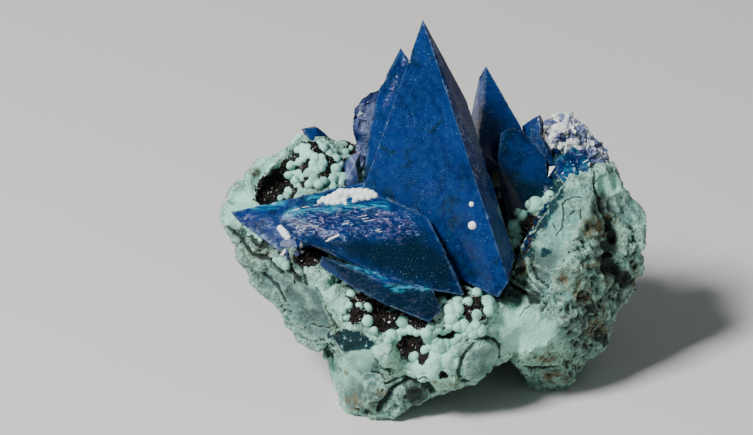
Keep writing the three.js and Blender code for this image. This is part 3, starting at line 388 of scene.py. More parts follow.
SMOOTH_SPOTS = [((19.6, 24.6), 1.5), ((20.6, 22.2), 1.2), ((13.4, 4.4), 1.8),
                ((-27.2, 20.8), 1.4), ((-25.8, 22.6), 1.7), ((-24.3, 24.4), 1.7), ((-22.8, 26.4), 1.6),
                ((-11.2, 0.2), 2.6), ((2, 1.4), 1.6), ((15.8, 22), 2.4),
                ((-12.6, 1.4), 2.6), ((-12.4, -1.4), 1.8), ((8.6, 7), 3.2), ((12, 6), 2.4), ((14.6, 20.4), 3.2), ((12.6, 16.6), 2.4),
                ((-10.8, 3), 2.4), ((-18, 10.6), 2.8), ((-21.5, 13.8), 2.2), ((-16.4, 7.4), 1.8),
                ((11, 12.6), 1.6), ((-24.6, 22.8), 1.6), ((3.6, 3.1), 2.0), ((-2, 2.2), 2.8), ((22.8, 21), 1.9)]
COARSE_SPOTS = [((17.6, 16), 3.2), ((20.8, 11), 4.2), ((16.8, 8.4), 3.0), ((15, 3), 3.2),
                ((-10.6, -3.4), 1.6), ((-26, 18.6), 1.8), ((-23.6, 17.6), 2.0), ((22.2, 15.4), 2.4),
                ((-21.4, 15.4), 2.2)]
VEINED_SPOTS = [((-22.4, 16), 2.8), ((-19.6, 12.4), 2.6), ((-25, 18), 2.0), ((-17, 13.4), 1.8),
                ((16.4, 7), 3.4), ((19.4, 13), 3.2), ((21.6, 18.6), 2.6),
                ((-20.4, 9.6), 1.2), ((-16, 3.4), 1.4), ((12, 3), 2.4)]
BLUE_EDGE = [(-15.5, 18.7), (-16.4, 17.4), (-15.4, 16.4)]
SHADED_SPOTS = [
    ((-5.6, -0.3), 0.5), ((-2.8, -0.8), 0.5),
    ((20.4, 17.2), 1.3), ((20, 15), 1.2), ((21.4, 13), 1.0), ((-4.6, -1.2), 1.0), ((-3.6, -1.6), 0.9), ((-4.5, -2.2), 0.8),
    ((18.4, 23), 0.5), ((18.2, 25), 0.4), ((-18.6, 19), 0.8), ((8.4, 13.9), 0.7),
    ((10.4, 10.6), 0.8), ((-12.8, 8.4), 0.8), ((22.4, 9), 0.9), ((19.2, 5.4), 0.8),
    ((-15, 3.6), 0.6), ((17.6, 9.2), 0.7),
]
BLUE_BAND = [(13.7, 24.2), (12.2, 21.6), (11.1, 19.9), (10.1, 18.2), (9.6, 16.2)]

# ---- marks on the crystals, across and up as seen from the front ---------------------------------
# Where the blades show a painted silver-pink sheen.
SHEEN_OUTLINE = [
    (-20.9, 20.4), (-19.8, 21.4), (-15.2, 21.9), (-9.1, 21.6), (-5, 20.8), (-4, 18.7),
    (-5.9, 17.8), (-9.4, 18.6), (-12.9, 18.1), (-15.5, 17.6), (-17.7, 18.6), (-19.8, 18.6),
]
DUSTY_OUTLINE = [(-27, 21), (-24, 21.6), (-21.4, 20), (-20.2, 18.4), (-21, 16), (-24, 18),
                 (-26.4, 20)]
# Where the front blade's lower face is dark teal: dark-coloured crystal, and painted shade on a face turned from the
# light.
TEAL_OUTLINE = [
    (-15.5, 17.6), (-9.1, 17.9), (-3.5, 17.9), (-1.2, 16.3), (0.4, 14.4), (-0.3, 11.9),
    (-4.6, 12.5), (-8.3, 13.8), (-13.9, 16.5),
]
# The low blade under it: darker, partly painted shade, with a little painted sheen.
LOW_OUTLINE = [
    (-16, 15.6), (-12.1, 11.9), (-7.9, 9.4), (-2.6, 7.6), (-1, 8.8), (-2.1, 11.4), (-8.3, 12.2),
    (-13, 15),
]
# Painted glints along edges and streaks, in pale blue-green.
CYAN_GLINT_LINES = [
    ([(-20.2, 21), (-15.2, 21.9), (-8.3, 22)], 0.8), ([(-7.9, 11.8), (-4.6, 11.9), (-2.7, 11.7)], 0.35),
    ([(-24.6, 21.8), (-22.6, 22.2), (-21, 22.6)], 0.8), ([(-12.9, 15), (-8.3, 13)], 0.25),
    ([(-17.6, 22.6), (-16.2, 23.4)], 0.6), ([(-20.4, 20.8), (-19.4, 21.4), (-18.4, 21.4)], 0.7),
]
# Painted sheen along the narrow faces beside the spire's edges, near its tip and on its right.
SHEEN_EDGES = [[(-6, 39.8), (-4.7, 42.6), (-3.5, 44.8)], [(-3.3, 44.9), (-2.2, 42.2), (-1.2, 39.8)],
              [(-6.6, 38.2), (-8.2, 34.4)], [(3.2, 27.6), (4.4, 24.6)]]
SPIRE_SIDE_OUTLINE = [(-0.6, 37), (3.2, 30), (4.4, 26), (2.6, 26), (0.6, 31), (-1.2, 37)]
RIGHT_SIDE_OUTLINE = [(2.9, 28.6), (3, 33.6), (3.6, 38), (4.4, 37.4), (4.2, 33), (3.6, 28.6)]
# The right crystals' dark lower part: dark-coloured crystal, and painted shade.
RIGHT_DARK_OUTLINE = [
    (4, 28), (6.4, 26.6), (9, 25.4), (12.6, 24.4), (12.2, 22), (8, 19), (6.4, 19), (4.4, 23),
]
RIM_FLAKES_OUTLINE = [(13, 31.4), (14.4, 33), (16.2, 33.2), (18.4, 31), (20.4, 28.2), (18.6, 28),
                      (17, 29.6), (14.4, 30)]


# ---- shape helpers ------------------------------------------------------------------------------
def smooth_step(value):
    """3v squared less 2v cubed, with v kept between 0 and 1."""
    v = np.clip(value, 0, 1)
    return v * v * (3 - 2 * v)


def lumpiness(points, length, seed):
    """Gradient noise, about -1 to 1: every corner of a cubic lattice of that length holds a
    seeded direction, and the value mixes the dot products of the eight corners round a point."""
    rng = np.random.default_rng(seed)
    order = rng.permutation(256)
    directions = rng.normal(size=(256, 3))
    directions /= np.linalg.norm(directions, axis=1)[:, None]
    scaled = points / length
    cell = np.floor(scaled).astype(int)
    offset = scaled - cell
    fade = offset ** 3 * (offset * (offset * 6 - 15) + 10)
    total = np.zeros(len(points))
    for corner in np.ndindex(2, 2, 2):
        c = (cell + corner) & 255
        pick = order[(order[(order[c[:, 0]] + c[:, 1]) & 255] + c[:, 2]) & 255]
        share = np.where(corner, fade, 1 - fade).prod(axis=1)
        total += share * np.einsum("ij,ij->i", directions[pick], offset - corner)
    return total * 1.7


def fractures(points, length, seed):
    """Height of chips on a broken face, about -0.6 to 0.6: space is parted in cells round seeded
    points, one to each cube of a lattice, and in a cell the height grows along a seeded lean."""
    rng = np.random.default_rng(seed)
    order = rng.permutation(256)
    jitter = rng.uniform(0, 1, (256, 3))
    leans = rng.normal(size=(256, 3))
    leans /= np.linalg.norm(leans, axis=1)[:, None]
    scaled = points / length
    cell = np.floor(scaled).astype(int)
    nearest = np.full(len(points), np.inf)
    height = np.zeros(len(points))
    for corner in np.ndindex(3, 3, 3):
        c = cell + np.array(corner) - 1
        d = c & 255
        pick = order[(order[(order[d[:, 0]] + d[:, 1]) & 255] + d[:, 2]) & 255]
        offset = scaled - c - jitter[pick]
        gap = np.linalg.norm(offset, axis=1)
        closer = gap < nearest
        height = np.where(closer, np.einsum("ij,ij->i", leans[pick], offset), height)
        nearest = np.where(closer, gap, nearest)
    return height


def as_seen(points):
    """Across and up of each point where its line to the eye meets the plane through TARGET
    that is square to the line of sight."""
    away = points - TARGET
    scale = DISTANCE / (DISTANCE + away @ SIGHT)
    return np.stack([away[:, 0] * scale + TARGET[0], (away @ RISE) * scale + TARGET @ RISE], axis=1)


def distance_to_line(seen, line):
    """Distance of each point to the nearest of a polyline's parts."""
    nearest = np.full(len(seen), np.inf)
    corners = np.array(line, float)
    for start, end in zip(corners[:-1], corners[1:]):
        along = end - start
        share = np.clip((seen - start) @ along / (along @ along), 0, 1)
        gap = np.linalg.norm(seen - start - share[:, None] * along, axis=1)
        nearest = np.minimum(nearest, gap)
    return nearest


def on_line(seen, line, width):
    """1 on a polyline, falling smoothly to 0 at that width from it."""
    return smooth_step(1 - distance_to_line(seen, line) / width)


def in_spot(seen, middle, radius, edge=0.35):
    """1 inside a round spot, falling smoothly to 0 over the given share of its radius."""
    gap = np.linalg.norm(seen - np.array(middle), axis=1)
    return smooth_step((radius * (1 + edge) - gap) / (2 * radius * edge))


def oval_reach(seen, middle, halves, angle):
    """Distance from the middle of an oval whose long half leans by the angle, as a share of the
    oval's own reach that way: 1 on its line."""
    turn = np.radians(angle)
    axes = np.array([[np.cos(turn), -np.sin(turn)], [np.sin(turn), np.cos(turn)]])
    return np.linalg.norm((seen - np.array(middle)) @ axes / np.array(halves), axis=1)


def in_outline(seen, outline, edge):
    """1 inside a closed outline, falling smoothly to 0 across its edge. A point is inside where
    a level line from it to the right crosses the outline an odd number of times."""
    corners = np.array(outline, float)
    inside = np.zeros(len(seen), bool)
    for (ax, ay), (bx, by) in zip(corners, np.roll(corners, -1, axis=0)):
        spans = (ay > seen[:, 1]) != (by > seen[:, 1])
        rise = by - ay if by != ay else 1.0
        inside ^= spans & (seen[:, 0] < (bx - ax) * (seen[:, 1] - ay) / rise + ax)
    gap = distance_to_line(seen, list(outline) + [outline[0]])
    return smooth_step(0.5 + np.where(inside, gap, -gap) / (2 * edge))


def ball_skin(halvings):
    """Unit directions and triangles of a ball: an icosahedron halved again and again."""
    mesh = bmesh.new()
    bmesh.ops.create_icosphere(mesh, subdivisions=halvings, radius=1)
    points = np.array([v.co[:] for v in mesh.verts])
    triangles = np.array([[v.index for v in f.verts] for f in mesh.faces])
    mesh.free()
    return points / np.linalg.norm(points, axis=1)[:, None], triangles


def hull(points):
    """Triangles of the convex skin round a few points, facing outwards."""
    mesh = bmesh.new()
    for point in points:
        mesh.verts.new(point)
    bmesh.ops.convex_hull(mesh, input=mesh.verts)
    bmesh.ops.recalc_face_normals(mesh, faces=mesh.faces)
    mesh.verts.index_update()
    triangles = np.array([[v.index for v in f.verts] for f in mesh.faces])
    mesh.free()
    return triangles


def put(name, points, faces):
    """An object whose mesh has these points, in millimetres, and faces, all of the same size."""
    mesh = bpy.data.meshes.new(name)
    count, sides = faces.shape
    mesh.vertices.add(len(points))
    mesh.vertices.foreach_set("co", ((points - ORIGIN) * MM).ravel())
    mesh.loops.add(count * sides)
    mesh.loops.foreach_set("vertex_index", faces.ravel().astype(np.int32))
    mesh.polygons.add(count)
    mesh.polygons.foreach_set("loop_start", np.arange(0, count * sides, sides, dtype=np.int32))
    mesh.update(calc_edges=True)
    mesh.validate()
    mesh.shade_flat()
    piece = bpy.data.objects.new(name, mesh)
    bpy.context.scene.collection.objects.link(piece)
    return piece


def points_of(mesh):
    """A mesh's points in millimetres and its normals at them."""
    points = np.empty(len(mesh.vertices) * 3, np.float32)
    mesh.vertices.foreach_get("co", points)
    normals = np.empty(len(mesh.vertices) * 3, np.float32)
    mesh.vertex_normals.foreach_get("vector", normals)
    return points.reshape(-1, 3).astype(float) / MM + ORIGIN, normals.reshape(-1, 3).astype(float)


def move_points(mesh, points):
    mesh.vertices.foreach_set("co", ((points - ORIGIN) * MM).ravel())
    mesh.update()


def baked(piece):
    """The piece with its modifiers worked into its mesh."""
    graph = bpy.context.evaluated_depsgraph_get()
    mesh = bpy.data.meshes.new_from_object(piece.evaluated_get(graph))
    piece.modifiers.clear()
    old = piece.data
    piece.data = mesh
    bpy.data.meshes.remove(old)
    mesh.name = piece.name
    return piece


def fused(name, points, faces, cell, passes):
    """Closed shells that overlap, joined in one even skin of small squares and smoothed."""
    piece = put(name, points, faces)
    join = piece.modifiers.new("join", "REMESH")
    join.mode = "VOXEL"
    join.voxel_size = cell * MM
    ease = piece.modifiers.new("ease", "SMOOTH")
    ease.factor = 0.5
    ease.iterations = passes
    return baked(piece)


def mark(mesh, name, values):
    """A value at every point of the mesh, under a name that the materials read."""
    layer = mesh.attributes.new(name, "FLOAT", "POINT")
    layer.data.foreach_set("value", np.clip(values, 0, 1).astype(np.float32))


def shade(mesh, angle):
    """Smooth shading, with a crease at every edge sharper than the angle."""
    mesh.shade_smooth()
    mesh.set_sharp_from_angle(angle=np.radians(angle))


# ---- rock ------------------------------------------------------------------------------------
ROCK_CELL = 0.285
LOBE_HALVINGS = 7


def lobe(heart, corners, directions):
    """Along each direction from the heart the skin is as far as the flat facet there, or as the
    nearest flat break: for facet corners a, b, c the direction is a sum of weights times their
    offsets, and the distance is one over the sum of the weights."""
    heart = np.array(heart, float)
    offsets = np.array(corners, float) - heart
    unit = offsets / np.linalg.norm(offsets, axis=1)[:, None]
    deepest = np.full(len(directions), -np.inf)
    reach = np.ones(len(directions))
    for facet in hull(unit):
        weights = directions @ np.linalg.inv(offsets[facet])
        depth = weights.min(axis=1)
        better = depth > deepest
        deepest = np.where(better, depth, deepest)
        total = weights.sum(axis=1)
        reach = np.where(better & (total > 0), 1 / np.maximum(total, 1e-9), reach)
    skin = heart + directions * reach[:, None]
    reach += 0.5 * lumpiness(skin, 4.7, 11) + 0.3 * lumpiness(skin, 2.4, 12)
    for through, facing in BREAKS:
        facing = np.array(facing, float) / np.linalg.norm(facing)
        towards = directions @ facing
        gap = (np.array(through) - heart) @ facing
        reach = np.where(towards > 0, np.minimum(reach, gap / np.maximum(towards, 1e-6)), reach)
    return heart + directions * reach[:, None]


def sum_of(seen, spots, edge=0.35):
    """The strongest of several round spots at each point."""
    return np.max([in_spot(seen, middle, radius, edge) for middle, radius in spots], axis=0)


def refine(mesh, near):
    """Squares of the mesh whose four corners are marked are parted in nine."""
    chosen = np.flatnonzero(near[edge_ends(mesh)].all(axis=1))
    edit = bmesh.new()
    edit.from_mesh(mesh)
    edit.edges.ensure_lookup_table()
    bmesh.ops.subdivide_edges(edit, edges=[edit.edges[i] for i in chosen], cuts=2,
                              use_grid_fill=True)
    bmesh.ops.triangulate(edit, faces=[f for f in edit.faces if len(f.verts) > 4])
    edit.to_mesh(mesh)
    edit.free()


def averaged(values, ends, passes):
    """Every value turned into the mean of its neighbours' along the mesh's edges, a few times."""
    count = len(values)
    both = np.concatenate([ends, ends[:, ::-1]])
    degree = np.bincount(both[:, 0], minlength=count)
    for _ in range(passes):
        columns = [np.bincount(both[:, 0], weights=values[both[:, 1], k], minlength=count)
                   for k in range(values.shape[1])]
        values = np.stack(columns, axis=1) / np.maximum(degree, 1)[:, None]
    return values


def edge_ends(mesh):
    """The two vertices of every edge, one row each."""
    ends = np.empty(len(mesh.edges) * 2, np.int32)
    mesh.edges.foreach_get("vertices", ends)
    return ends.reshape(-1, 2)


def settled(points, ends, limit):
    """Points that stand out of the mean of their neighbours by more than the limit, such as the
    tips of thin spikes, moved to that mean, three times over."""
    for _ in range(3):
        middle = averaged(points, ends, 1)
        out = np.linalg.norm(points - middle, axis=1) > limit
        points = np.where(out[:, None], middle, points)
    return points


def hollowness(mesh, passes):
    """How far, in millimetres, the surface lies below its own average: above 0 in hollows and
    below 0 on crests."""
    points, normals = points_of(mesh)
    middle = averaged(points, edge_ends(mesh), passes)
    return np.einsum("ij,ij->i", middle - points, normals)


def domes(seen, spots):
    """Height of half balls over the spots: the root of radius squared less distance squared."""
    tall = np.zeros(len(seen))
    for across, up, radius in spots:
        gap = np.linalg.norm(seen - np.array([across, up]), axis=1)
        tall = np.maximum(tall, np.sqrt(np.maximum(radius ** 2 - gap ** 2, 0)))
    return tall


def build_rock():
    """Four lobes joined in one skin, then moved along its normals by noise of several lengths,
    and by the pits, grooves, ridges, swellings and cracks that face the front."""
    directions, triangles = ball_skin(LOBE_HALVINGS)
    lobes = [lobe(heart, corners, directions) for heart, corners in LOBES.values()]
    faces = [triangles + k * len(directions) for k in range(len(lobes))]
    piece = fused("rock", np.concatenate(lobes), np.concatenate(faces), ROCK_CELL, 3)
    points, normals = points_of(piece.data)
    seen = as_seen(points)
    gap = np.min([distance_to_line(seen, line) for line in CRACKS], axis=0)
    refine(piece.data, (gap < 0.4) & (normals @ SIGHT < 0.1))
    points, normals = points_of(piece.data)
    seen = as_seen(points)
    towards = smooth_step(-(normals @ SIGHT) * 2.5)
    smooth = sum_of(seen, SMOOTH_SPOTS) * towards
    behind = smooth_step(2.5 * (normals @ SIGHT) + 0.2)
    crumbled = smooth_step(lumpiness(points, 6.5, 50) * 2.4 + 0.4)
    coarse = np.maximum(sum_of(seen, COARSE_SPOTS) * towards, 0.5 * crumbled * behind)
    rough = np.clip(0.9 - 0.8 * smooth + 0.6 * coarse, 0, 1.5) * (1 - 0.65 * behind * (1 - crumbled))
    disc = smooth_step((1 - oval_reach(seen, *DISC)) / 0.12) * towards
    rim = smooth_step(1 - np.abs(oval_reach(seen, *DISC) - 1.15) / 0.16) * towards
    rough *= 1 - 0.9 * disc
    bend = points + 0.8 * np.stack([lumpiness(points, 3.1, k) for k in (21, 22, 23)], axis=1)
    crease = 1 - 2 * np.abs(lumpiness(bend, 2.7, 24))
    fine_crease = 1 - 2 * np.abs(lumpiness(bend, 1.2, 25))
    nodules = 2 * np.abs(lumpiness(bend, 2.1, 30)) - 0.6
    layered = np.abs((bend @ np.array([0.3, 0.35, 0.9]) / 1.3) % 1 - 0.5) * 2
    rise = 0.22 * rough * crease + 0.12 * rough * fine_crease + 0.22 * coarse * nodules
    rise += rough * (0.27 * fractures(bend, 2.6, 43) + 0.24 * fractures(bend, 1.25, 44))
    rise += behind * (1.5 * fractures(bend, 7.5, 49) + 0.6 * fractures(bend, 3.8, 51))
    rise += 0.08 * rough * lumpiness(points, 0.75, 27)
    rise += 0.05 * lumpiness(points, 0.9, 38)
    rise += 0.2 * rough * (layered - 0.5) * smooth_step(lumpiness(points, 6, 28) * 2 + 0.3)
    rise -= 0.35 * rough * smooth_step(lumpiness(points, 1.1, 29) * 3 - 1.3)
    rise += 0.85 * domes(seen, LOW_SWELLINGS) * towards
    for middle, radius, depth in PITS:
        rise -= depth * in_spot(seen, middle, radius, 0.5) * towards
    warped = seen + 0.4 * np.stack([lumpiness(points, 1.3, k) for k in (33, 34)], axis=1)
    traced = (seen + warped) / 2
    for line, width, depth in GROOVES:
        rise -= depth * on_line(traced, line, width) * towards
    for line, width, height in RIDGES:
        rise += height * on_line(seen, line, width) * towards
    strays = seen + 0.12 * np.stack([lumpiness(points, 0.6, k) for k in (39, 40)], axis=1)
    cracked = np.max([on_line(strays, line, 0.17) for line in CRACKS], axis=0) * towards
    rise -= 0.22 * cracked
    rise += 0.5 * disc - 0.4 * rim
    foam = np.max([on_line(warped, line, width) for line, width in FOAM_LINES], axis=0) * towards
    rise += foam * (0.3 + 0.3 * np.abs(lumpiness(points, 0.7, 45)))
    veined = np.maximum(sum_of(seen, VEINED_SPOTS, 0.5) * towards, 0.6 * behind)
    vein = smooth_step(1 - np.abs(lumpiness(bend, 2.3, 46)) / 0.11)
    vein = np.maximum(vein, 0.8 * smooth_step(1 - np.abs(lumpiness(bend, 1.1, 47)) / 0.09))
    vein *= veined * smooth_step(lumpiness(points, 2.9, 48) * 2 + 0.7) * (1 - disc) * (1 - 0.7 * smooth)
    rise -= 0.4 * vein
    low = smooth_step(points[:, 2] / 0.8)
    points = points + normals * (rise * low)[:, None]
    points = settled(points, edge_ends(piece.data), 0.22)
    points[:, 2] = np.where(points[:, 2] < 0.25, 0, points[:, 2])
    move_points(piece.data, within_cad(points))

    ragged = 0.5 * lumpiness(points, 1.1, 31) + 0.35 * lumpiness(points, 0.5, 32)
    # The druse mark: dark druse, and painted shade in the pits and gaps it fills.
    druse = sum_of(warped, DRUSE_AND_SHADE_SPOTS, 0.2) * towards
    hollows = smooth_step(lumpiness(points, 5.2, 35) * 2.2 - 0.9) * behind
    mark(piece.data, "druse", np.maximum(druse, 0.8 * hollows))
    grooves = np.max([on_line(traced, line, w) for line, w, d in GROOVES], axis=0) * towards
    shaded = np.maximum(sum_of(warped, SHADED_SPOTS, 0.4) * towards, 0.8 * rim)
    mark(piece.data, "shaded", np.maximum(np.maximum(grooves, shaded), vein))
    stain = sum_of(warped, OCHRE_SPOTS, 0.6) * towards
    stain_behind = smooth_step(lumpiness(points, 4.4, 36) * 2 - 0.5) * behind
    mark(piece.data, "ochre", np.maximum(stain, 0.8 * stain_behind) * (0.75 + ragged))
    band = np.maximum(on_line(warped, BLUE_BAND, 1.4), on_line(warped, BLUE_EDGE, 0.7))
    mark(piece.data, "teal", np.maximum(sum_of(warped, TEAL_SPOTS, 0.4), band) * towards)
    grey = np.maximum(sum_of(warped, GREY_SPOTS, 0.7) * towards, 0.8 * disc) * (1 - foam)
    mark(piece.data, "grey", np.maximum(grey, behind * (0.35 + 0.5 * crumbled)))
    washed = behind * smooth_step(lumpiness(points, 8, 52) * 2.4 - 0.2)
    # The pale mark: pale rock, fibrous foam and a washed back, and painted light on lit rims.
    pale = np.maximum(sum_of(warped, PALE_AND_LIT_SPOTS, 0.7) * towards, 1.3 * foam)
    mark(piece.data, "pale", np.maximum(pale, washed))
    mark(piece.data, "cracked", cracked)
    mark(piece.data, "coarse", rough / 1.5)
    # Painted shade in hollows and a painted highlight on crests, from how far the surface lies below or above its
    # own average.
    hollow_shade = hollowness(piece.data, 8)
    mark(piece.data, "hollow_shade", hollow_shade / 0.22)
    mark(piece.data, "crest_highlight", -hollow_shade / 0.22)
    shade(piece.data, 38)
    return piece


def within_cad(points):
    """The points kept inside the part's own box."""
    low = np.array(cad_low) / MM + ORIGIN
    high = np.array(cad_high) / MM + ORIGIN
    return np.clip(points, low, high)


# ---- crust -------------------------------------------------------------------------------------
BALL_SINK = 0.2      # share of a ball's radius by which its middle lies under the surface


def surface_of(piece):
    """The piece's faces as a tree that a line can be tested against."""
    return BVHTree.FromObject(piece, bpy.context.evaluated_depsgraph_get())


def creases(points, middles, radii):
    """1 where the skins of two balls meet, falling to 0 a little away from there: the second
    smallest of the distances to the balls' skins."""
    result = []
    for some in np.array_split(points, 16):
        gaps = np.linalg.norm(some[:, None, :] - middles[None], axis=2) - radii
        result.append(np.partition(gaps, 1, axis=1)[:, 1])
    return smooth_step(1 - np.concatenate(result) / 0.16)


def first_hit(start, line, surfaces):
    """Where a line first meets one of the surfaces, in millimetres, and the normal there."""
    hits = [surface.ray_cast(Vector((start - ORIGIN) * MM), Vector(line)) for surface in surfaces]
    hits = [hit for hit in hits if hit[0] is not None]
    if not hits:
        return None, None
    nearest = min(hits, key=lambda hit: hit[3])
    return np.array(nearest[0]) / MM + ORIGIN, np.array(nearest[1])


def line_to(across, up, behind=False):
    """The start and direction of the line of sight through a place on the picture plane; from
    behind, lines run level with each other along the mirrored line of sight."""
    if behind:
        line = SIGHT * (1, -1, 1)
        return np.array([across, 0, 0]) + RISE * (1, -1, 1) * up - line * DISTANCE, line
    aim = TARGET + RISE * (up - TARGET @ RISE) + np.array([across - TARGET[0], 0, 0])
    return EYE, (aim - EYE) / np.linalg.norm(aim - EYE)


def seats(spots, surfaces, behind=False):
    """Middles and radii of balls: the line from the eye through each spot meets the surface,
    and goes on by a share of the radius. Spots whose line misses are left out."""
    middles, radii = [], []
    for across, up, radius in spots:
        start, line = line_to(across, up, behind)
        place, _ = first_hit(start, line, surfaces)
        if place is not None:
            middles.append(place + line * radius * BALL_SINK)
            radii.append(radius)
    return np.array(middles), np.array(radii)


def swollen(spots, times):
    return [(across, up, radius * times) for across, up, radius in spots]


def balls(name, spots, surfaces, cell, passes, behind=()):
    """Every ball is a unit ball times its radius, put at its middle; overlapping ones run
    together like drops, and fine noise roughens them."""
    directions, triangles = ball_skin(3)
    middles, radii = seats(spots, surfaces)
    if behind:
        more = seats(behind, surfaces, behind=True)
        middles = np.concatenate([middles, more[0]])
        radii = np.concatenate([radii, more[1]])
    points = middles[:, None, :] + radii[:, None, None] * directions[None]
    faces = triangles[None] + (np.arange(len(radii)) * len(directions))[:, None, None]
    piece = fused(name, points.reshape(-1, 3), faces.reshape(-1, 3), cell, passes)
    points, normals = points_of(piece.data)
    crease = creases(points, middles, radii)
    rise = 0.035 * lumpiness(points, 0.55, 41) + 0.012 * lumpiness(points, 0.22, 42)
    rise -= 0.035 * crease
    points = points + normals * rise[:, None]
    points[:, 2] = np.maximum(points[:, 2], 0)
    move_points(piece.data, within_cad(points))
    mark(piece.data, "crease", crease)
    shade(piece.data, 60)
    return piece


def square_axes(angle, normal):
    """Three unit directions square to each other: one on the surface, which as seen from the
    front slopes by the angle, one across it, and the normal."""
    turn = np.radians(angle)
    level = np.array([np.cos(turn), 0, 0]) + RISE * np.sin(turn)
    along = level - SIGHT * (level @ normal) / (SIGHT @ normal)
    along /= np.linalg.norm(along)
    return np.array([along, np.cross(normal, along), normal])


def slivers(name, spots, surfaces):
    """Thin tapered splinters lying on a crystal, each a hull of eight corners turned to its
    place; the angle is that of its length to level, as seen from the front."""
    corners = np.array([[-0.5, -0.3, -1], [-0.42, 0.5, -1], [0.5, 0.3, -1], [0.44, -0.5, -1],
                        [-0.4, -0.2, 0.6], [-0.36, 0.34, 0.5], [0.42, 0.2, 0.2], [0.38, -0.36, 0.3]])
    sides = hull(corners)
    shells = []
    for (across, up), length, width, angle in spots:
        start, line = line_to(across, up)
        place, normal = first_hit(start, line, surfaces)
        if place is not None:
            shells.append(place + (corners * (length, width, 0.06)) @ square_axes(angle, normal))
    cloud = np.concatenate(shells)
    faces = sides[None] + (np.arange(len(shells)) * len(corners))[:, None, None]
    return put(name, within_cad(cloud), faces.reshape(-1, 3))


def scattered(outline, count, smallest, largest, seed):
    """Places thrown evenly in an outline, and their radii."""
    rng = np.random.default_rng(seed)
    corners = np.array(outline)
    places = rng.uniform(corners.min(axis=0), corners.max(axis=0), (4 * count, 2))
    inside = places[in_outline(places, outline, 0.05) > 0.5][:count]
    return [((a, u), r) for (a, u), r in zip(inside, rng.uniform(smallest, largest, len(inside)))]


def chips(name, spots, surfaces, seed):
    """Broken bits of crystal: each the hull of eight corners thrown round its middle."""
    rng = np.random.default_rng(seed)
    middles, radii = seats([(a, u, r) for (a, u), r in spots], surfaces)
    points, faces = [], []
    for middle, radius in zip(middles, radii):
        thrown = rng.normal(size=(9, 3))
        thrown /= np.linalg.norm(thrown, axis=1)[:, None]
        faces.append(hull(thrown) + sum(len(p) for p in points))
        points.append(middle + thrown * radius * (1.0, 0.8, 0.9))
    cloud = np.concatenate(points)
    return put(name, within_cad(cloud), np.concatenate(faces))


def druse_grains(rock):
    """Dark eight-sided grains, each a random turn and size of the same corners, on rock points
    picked where the druse is; where that mark fills pits, the grains also stand for painted shade."""
    rng = np.random.default_rng(7)
    points, normals = points_of(rock.data)
    druse = np.empty(len(points), np.float32)
    rock.data.attributes["druse"].data.foreach_get("value", druse)
    chance = druse * (normals @ SIGHT < -0.15)
    picked = rng.choice(len(points), size=3200, replace=False, p=chance / chance.sum())
    corners = np.array([[1, 0, 0], [-1, 0, 0], [0, 1, 0], [0, -1, 0], [0, 0, 1.2], [0, 0, -1.2]])
    sides = hull(corners)
    axes = np.linalg.qr(rng.normal(size=(len(picked), 3, 3)))[0]
    sizes = rng.uniform(0.08, 0.2, len(picked))
    turned = np.einsum("kij,cj->kci", axes, corners) * sizes[:, None, None]
    middles = points[picked] + normals[picked] * 0.03
    cloud = (middles[:, None, :] + turned).reshape(-1, 3)
    cloud[:, 2] = np.maximum(cloud[:, 2], 0)
    faces = sides[None] + (np.arange(len(picked)) * len(corners))[:, None, None]
    piece = put("druse", within_cad(cloud), faces.reshape(-1, 3))
    recalculate(piece.data)
    return piece


def recalculate(mesh):
    """Every closed shell of the mesh is made to face outwards."""
    edit = bmesh.new()
    edit.from_mesh(mesh)
    bmesh.ops.recalc_face_normals(edit, faces=edit.faces)
    edit.to_mesh(mesh)
    edit.free()


# ---- crystals ----------------------------------------------------------------------------------
BEVEL_ANGLE = 14      # edges sharper than this are cut back
WORN_ANGLE = 32       # and those sharper than this are nicked and pale


def crystal_group(name, crystals, bevel, longest):
    """The hulls of the crystals' corners, joined, their edges cut back by a narrow bevel, and
    every face parted until no side is longer than the given length."""
    shells = []
    for k, corners in enumerate(crystals):
        shells.append(put(name + "_%d" % k, np.array(corners, float), hull(corners)))
    piece = shells[0]
    for other in shells[1:]:
        join = piece.modifiers.new("join", "BOOLEAN")
        join.operation = "UNION"
        join.solver = "EXACT"
        join.object = other
        baked(piece)
    for other in shells[1:]:
        bpy.data.objects.remove(other)
    piece.name = name
    piece.data.name = name
    edit = bmesh.new()
    edit.from_mesh(piece.data)
    bmesh.ops.dissolve_limit(edit, angle_limit=np.radians(1.5), verts=edit.verts, edges=edit.edges)
    edges = np.array([[v.co[:] for v in e.verts] for e in edit.edges
                      if len(e.link_faces) == 2 and e.calc_face_angle(0) > np.radians(WORN_ANGLE)])
    edit.to_mesh(piece.data)
    edit.free()
    soften = piece.modifiers.new("soften", "BEVEL")
    soften.width = bevel * MM
    soften.segments = 2
    soften.limit_method = "ANGLE"
    soften.angle_limit = np.radians(BEVEL_ANGLE)
    soften.use_clamp_overlap = True
    baked(piece)
    edit = bmesh.new()
    edit.from_mesh(piece.data)
    bmesh.ops.triangulate(edit, faces=edit.faces)
    for _ in range(8):
        long = [e for e in edit.edges if e.calc_length() > longest * MM]
        if not long:
            break
        bmesh.ops.subdivide_edges(edit, edges=long, cuts=1)
        bmesh.ops.triangulate(edit, faces=edit.faces)
    edit.to_mesh(piece.data)
    edit.free()
    return piece, edges / MM + ORIGIN


def gap_to_edges(points, edges):
    """Distance of each point to the nearest crystal edge, a straight line between two corners."""
    nearest = np.full(len(points), np.inf)
    for start, end in edges:
        along = end - start
        share = np.clip((points - start) @ along / (along @ along), 0, 1)
        gap = np.linalg.norm(points - start - share[:, None] * along, axis=1)
        nearest = np.minimum(nearest, gap)
    return nearest


